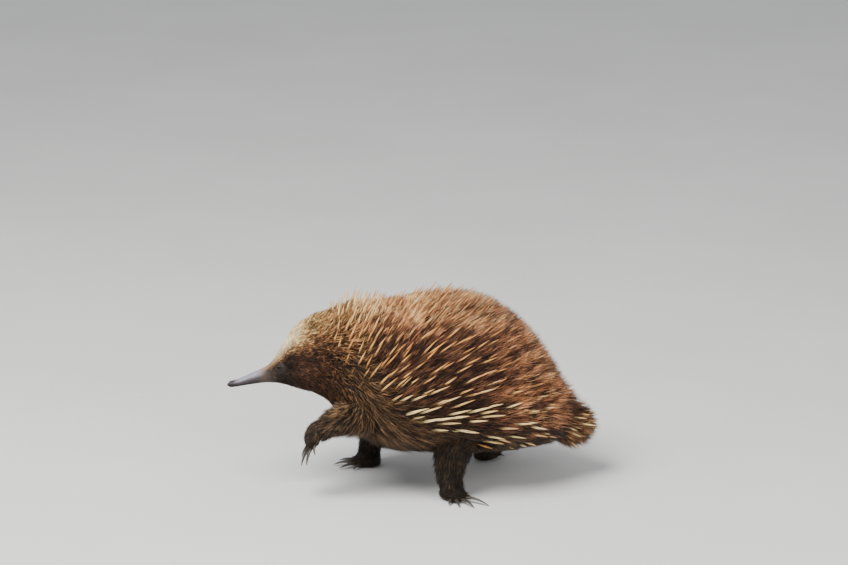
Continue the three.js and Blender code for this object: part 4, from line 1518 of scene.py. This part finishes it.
class ECHIDNA_OT_tail_fur(bpy.types.Operator):
    """Lays the fur that fans out from the stub of the tail"""
    bl_idname = "echidna.tail_fur"
    bl_label = "Tail fur"

    def execute(self, context):
        draw = seeded(context, 6)
        count = int(TAIL_TUFTS * context.scene.echidna.coat.density)
        stub = tail_roots(draw, count) + (draw.random(count), draw.uniform(19, 33, count))
        s, a, place, out, lie, chance, long = (np.repeat(part, TUFT_HAIRS, axis=0) for part in stub)
        offset = draw.normal(0, 1.7, place.shape)
        place = place + offset - out * dot(offset, out)[:, None]
        keep = ~inside_trunk(place, 1)
        tuft = (s, a, place, out, lie, chance, long, offset)
        s, a, place, out, lie, chance, long, offset = (part[keep] for part in tuft)
        count = len(s)
        tint = mix(INK["middle"], INK["tail"], smoothstep(s, 0.3, 0.8))
        tints = coat_tints(draw, tint, chance, 1.0, 0.05, 0.7, 1.5, 0.25)
        lie = unit(lie + draw.normal(0, 0.06, lie.shape))
        bend = -offset * 0.8 / long[:, None] + draw.normal(0, 0.03, place.shape)
        long = long * draw.uniform(0.8, 1.1, count)
        wide = draw.uniform(0.6, 0.9, count)
        place = place - out * SHORT_SINK
        hair = strand_set(draw, place, lie, out, bend, long, wide, tints, tail_uv(s, a))
        lay_fur("fur_tail", hair, "spined_coat")
        return {"FINISHED"}


def low_rear(points):
    """1 low on the rump, where spines are fewest, longest and most mixed."""
    return smoothstep(points[:, 0], 20, 90) * (1 - smoothstep(points[:, 2], 80, 120))


def spine_places(draw, pitch):
    """Staggered rows of spines over the trunk, closest at the crest."""
    xs, turns = [], []
    x = -92.0
    row = 0
    while x < TRUNK_END:
        near = pitch * (0.8 + 0.2 * float(smoothstep(x, -50, 10)))
        ring = skin_point(np.full(64, x), points_round(64))
        girth = np.linalg.norm(ring - np.roll(ring, 1, axis=0), axis=1).sum()
        count = max(round(girth / near), 3)
        places = np.arange(count) + (0.5 if row % 2 else 0)
        turn = (places + draw.uniform(-0.32, 0.32, count)) / count * 2 * math.pi
        xs.append(x + draw.uniform(-0.34, 0.34, count) * near)
        turns.append(turn)
        x += near * 0.86
        row += 1
    x, turn = np.concatenate(xs), np.concatenate(turns)
    root = skin_point(x, turn)
    share = spine_share(root)
    chosen = smoothstep(share, 0.2, 0.6) * (1 - 0.4 * low_rear(root))
    keep = (share > 0.3) & (draw.random(len(x)) < chosen) & clear_of_limbs(root)
    return x[keep], turn[keep], root[keep]


def spine_tints(draw, count, paleness, cream):
    """Spines are dull at the root, pale in the middle and brown at the point."""
    tone = draw.uniform(0.86, 1.1, (count, 1))
    middle = mix(INK["spine_gold"], cream, np.clip(paleness, 0, 1)) * tone
    root = mix(INK["spine_root"], middle, 0.25)
    tip = mix(INK["spine_tip"], middle, np.clip(paleness * 0.7, 0, 1))
    return root, np.clip(middle, 0, 1), tip


SPINE_SINK = 1.5
TAIL_SPINES = 60


def trunk_spines(draw, settings, cream):
    """Spines over the back, flanks and rump."""
    x, turn, root = spine_places(draw, settings.pitch / MM)
    normal = skin_normal(x, turn)
    count = len(x)
    lie = unit(spine_lie(root) + draw.normal(0, 0.055, root.shape))
    rise = np.maximum(dot(lie, normal), 0.34)
    crest = (1 - smoothstep(x, -66, -30)) * smoothstep(np.cos(turn), 0.1, 0.6)
    rear = low_rear(root)
    length = np.minimum(coat_depth(x, turn) / rise, settings.longest / MM) + 9 * crest
    length = length * (1 + 0.22 * rear) * draw.uniform(0.84, 1.12, count)
    length = length * (0.62 + 0.38 * smoothstep(spine_share(root), 0.3, 0.8))
    low = 1 - smoothstep(root[:, 2], 90, 160)
    worn = smoothstep(x, 60, 130) * smoothstep(root[:, 2], 90, 130)
    ridge = crest * smoothstep(np.cos(turn), 0.6, 0.9)
    paleness = 0.1 + 0.8 * np.maximum(low, ridge * 0.65) - 0.4 * worn - 0.15 * rear
    paleness = np.clip(paleness + draw.normal(0, 0.14 + 0.16 * rear, count), 0, 1)
    tints = spine_tints(draw, count, paleness, cream)
    bend = -normal * 0.03 + draw.normal(0, 0.012, root.shape)
    wide = settings.width / MM * draw.uniform(0.8, 1.15, count) * (0.72 + 0.32 * low)
    root = root - lie * SPINE_SINK
    return strand_set(draw, root, lie, normal, bend, length + SPINE_SINK, wide, tints, body_uv(x, turn), 1.0)


def tail_spines(draw, settings, cream):
    """Spines round the stub of the tail."""
    stub = tail_roots(draw, TAIL_SPINES)
    keep = ~inside_trunk(stub[2], 1)
    s, a, place, out, lie = (part[keep] for part in stub)
    count = len(s)
    tints = spine_tints(draw, count, draw.uniform(0.35, 0.85, count), cream)
    root = place - lie * SPINE_SINK
    lie = unit(lie + draw.normal(0, 0.06, lie.shape))
    bend = draw.normal(0, 0.012, place.shape)
    length = draw.uniform(24, 36, count)
    wide = settings.width / MM * draw.uniform(0.75, 1.0, count)
    return strand_set(draw, root, lie, out, bend, length, wide, tints, tail_uv(s, a), 1.0)


class ECHIDNA_OT_spines(bpy.types.Operator):
    """Sets the spines over the back, flanks, rump and tail"""
    bl_idname = "echidna.spines"
    bl_label = "Spines"

    def execute(self, context):
        settings = context.scene.echidna.spines
        draw = seeded(context, 7)
        cream = np.array(settings.cream)
        set_spines("spines_trunk", trunk_spines(draw, settings, cream))
        set_spines("spines_tail", tail_spines(draw, settings, cream))
        return {"FINISHED"}


class ECHIDNA_OT_eyes(bpy.types.Operator):
    """Makes the two small dark eyes"""
    bl_idname = "echidna.eyes"
    bl_label = "Eyes"

    def execute(self, context):
        colour = np.array(context.scene.echidna.eyes.colour)
        for side, word in ((-1, "left"), (1, "right")):
            centre, out = eye_centre(side)
            ahead = flat_on(np.array([[1.0, 0, 0]]), out[None])[0]
            up = np.cross(out, ahead)
            around = points_round(40)
            rings = []
            for polar in np.linspace(0, math.pi, 30)[1:-1]:
                bulge = 0.35 * math.exp(-((polar / 0.62) ** 4))
                r = EYE["radius"] + bulge
                flat = ahead * np.cos(around)[:, None] + up * np.sin(around)[:, None]
                rings.append(centre + out * (math.cos(polar) * r) + flat * (math.sin(polar) * r))
            front = centre + out * (EYE["radius"] + 0.35)
            ball = tube(rings, front, centre - out * EYE["radius"])
            made = facing_out(mesh_object("eyeball_" + word, *ball))

            def shade(points):
                away = unit(points - centre)
                polar = np.arccos(np.clip(dot(away, out), -1, 1))
                ring = smoothstep(polar, 0.3, 0.36) * (1 - smoothstep(polar, 0.7, 0.8))
                return mix(colour * 0.2, colour * 2.0, ring * 0.6)

            tint_mesh(made, shade)
            dress(made, finish("wet_eye"))
            ride_root(made, "eye", "eye_" + word)
        return {"FINISHED"}


def claw_rings(limb, turn, reach, long, wide):
    """The rings of a claw and its point."""
    matrix = foot_frame(limb)
    curl = FEET[limb["foot"]]["curl"]
    out, across = toe_axes(limb, turn)
    rings = []
    angle = (np.arange(16) + 0.5) / 16 * 2 * math.pi
    for s in np.linspace(-0.12, 0.985, 20):
        t = max(s, 0)
        broad = wide * (1 - 0.72 * t**1.8) * math.sqrt(max(1 - t**9, 0.02))
        tall = wide * 0.72 * (1 - 0.74 * t**1.4) * math.sqrt(max(1 - t**9, 0.02))
        arch = long * curl * (s - s * s * 1.15)
        lower = s * s * (CLAW_RISE - 1.9)
        height = np.sin(angle) * tall * np.where(np.sin(angle) < 0, 0.7, 1.0)
        ring = out * (reach + 0.3 + long * s) + across * (np.cos(angle) * broad)[:, None]
        ring = ring + UP * (CLAW_RISE + arch - lower + height)[:, None]
        rings.append(in_frame(matrix, ring))
    tip = rings[-1].mean(axis=0) + (rings[-1].mean(axis=0) - rings[-2].mean(axis=0)) * 0.25
    return rings, tip


class ECHIDNA_OT_claws(bpy.types.Operator):
    """Makes the digging claws of each paw"""
    bl_idname = "echidna.claws"
    bl_label = "Claws"

    def execute(self, context):
        colour = np.array(context.scene.echidna.claws.colour)
        for name, limb in LIMBS.items():
            origin = foot_frame(limb)[:3, 3]
            parts = []
            for digit in FEET[limb["foot"]]["digits"]:
                rings, tip = claw_rings(limb, *digit)
                parts.append(facing_out(mesh_object("claw", *tube(rings, rings[0].mean(axis=0), tip))))
            made = joined("claws_" + name, parts)

            def shade(points):
                worn = smoothstep(np.linalg.norm(points - origin, axis=1), 18, 44)
                return colour * (0.55 + 0.9 * worn)[:, None]

            tint_mesh(made, shade)
            dress(made, finish("claw_horn"))
            ride_root(made, "claw_horn", *["claw_" + name + "_" + str(i + 1) for i in range(5)])
        return {"FINISHED"}


FLOOR_REACH = 6.0
LIT_POINT = (0, 0, 0.1)
KEY_PLACE = (-1.0, -0.9, 2.15)
FILL_PLACE = (1.6, -2.0, 1.2)
FILL_SHARE = 0.3
SKY_COLOUR = (0.93, 0.96, 1.0, 1)

# Half the width that the camera takes in at the animal, and the way from the origin to its aim, in m
HALF_VIEW = 0.5088
AIM_ASIDE = 0.0156
AIM_ABOVE = 0.237


def add_light(name, size, power, place):
    lamp = bpy.data.lights.new(name, "AREA")
    lamp.shape = "DISK"
    lamp.size = size
    lamp.energy = power
    made = bpy.data.objects.new(name, lamp)
    made.location = place
    made.rotation_euler = (Vector(LIT_POINT) - Vector(place)).to_track_quat("-Z", "Y").to_euler()
    bpy.context.scene.collection.objects.link(made)


class ECHIDNA_OT_stage(bpy.types.Operator):
    """Lays the floor and sets the lights and the camera"""
    bl_idname = "echidna.stage"
    bl_label = "Stage"

    def execute(self, context):
        settings = context.scene.echidna.stage
        mesh = bpy.data.meshes.new("floor")
        corners = [(x * FLOOR_REACH, y * FLOOR_REACH, 0) for x, y in ((-1, -1), (1, -1), (1, 1), (-1, 1))]
        mesh.from_pydata(corners, [], [(0, 1, 2, 3)])
        floor = bpy.data.objects.new("floor", mesh)
        context.scene.collection.objects.link(floor)
        dress(floor, floor_material())

        world = bpy.data.worlds.new("soft_sky")
        world.use_nodes = True
        sky = world.node_tree.nodes["Background"]
        sky.inputs["Color"].default_value = SKY_COLOUR
        sky.inputs["Strength"].default_value = settings.sky
        context.scene.world = world
        add_light("key", 1.6, settings.key, KEY_PLACE)
        add_light("fill", 2.0, settings.key * FILL_SHARE, FILL_PLACE)

        az, el = settings.azimuth, settings.elevation
        right = Vector((math.cos(az), math.sin(az), 0))
        to_camera = Vector((math.sin(az) * math.cos(el), -math.cos(az) * math.cos(el), math.sin(el)))
        up = right.cross(-to_camera)
        aim = Vector(placed(np.zeros(3))) + right * AIM_ASIDE + up * AIM_ABOVE
        lens = bpy.data.cameras.new("camera")
        lens.sensor_fit = "HORIZONTAL"
        lens.angle = 2 * math.atan(HALF_VIEW / settings.distance)
        camera = bpy.data.objects.new("camera", lens)
        camera.location = aim + to_camera * settings.distance
        camera.rotation_euler = (-to_camera).to_track_quat("-Z", "Y").to_euler()
        context.scene.collection.objects.link(camera)
        context.scene.camera = camera
        return {"FINISHED"}


class ECHIDNA_PT_panel(bpy.types.Panel):
    """Lists the echidna's pieces"""
    bl_idname = "ECHIDNA_PT_panel"
    bl_label = "Echidna"
    bl_space_type = "VIEW_3D"
    bl_region_type = "UI"
    bl_category = "Echidna"

    def draw(self, context):
        for piece in PIECES:
            self.layout.operator(piece.bl_idname)
        settings = context.scene.echidna
        for group_name in settings.__annotations__:
            group = getattr(settings, group_name)
            box = self.layout.box()
            for name in group.__annotations__:
                box.prop(group, name)


PIECES = (
    ECHIDNA_OT_skin,
    ECHIDNA_OT_face_fur,
    ECHIDNA_OT_neck_fur,
    ECHIDNA_OT_back_fur,
    ECHIDNA_OT_side_fur,
    ECHIDNA_OT_leg_fur,
    ECHIDNA_OT_tail_fur,
    ECHIDNA_OT_spines,
    ECHIDNA_OT_eyes,
    ECHIDNA_OT_claws,
    ECHIDNA_OT_stage,
)
CLASSES = (
    SkinSettings,
    CoatSettings,
    SpineSettings,
    EyeSettings,
    ClawSettings,
    StageSettings,
    EchidnaSettings,
    *PIECES,
    ECHIDNA_PT_panel,
)


def register():
    for cls in CLASSES:
        bpy.utils.register_class(cls)
    bpy.types.Scene.echidna = PointerProperty(type=EchidnaSettings)


def unregister():
    del bpy.types.Scene.echidna
    for cls in reversed(CLASSES):
        bpy.utils.unregister_class(cls)


def main():
    register()
    for piece in PIECES:
        group, name = piece.bl_idname.split(".")
        getattr(getattr(bpy.ops, group), name)()


if __name__ == "__main__":
    main()
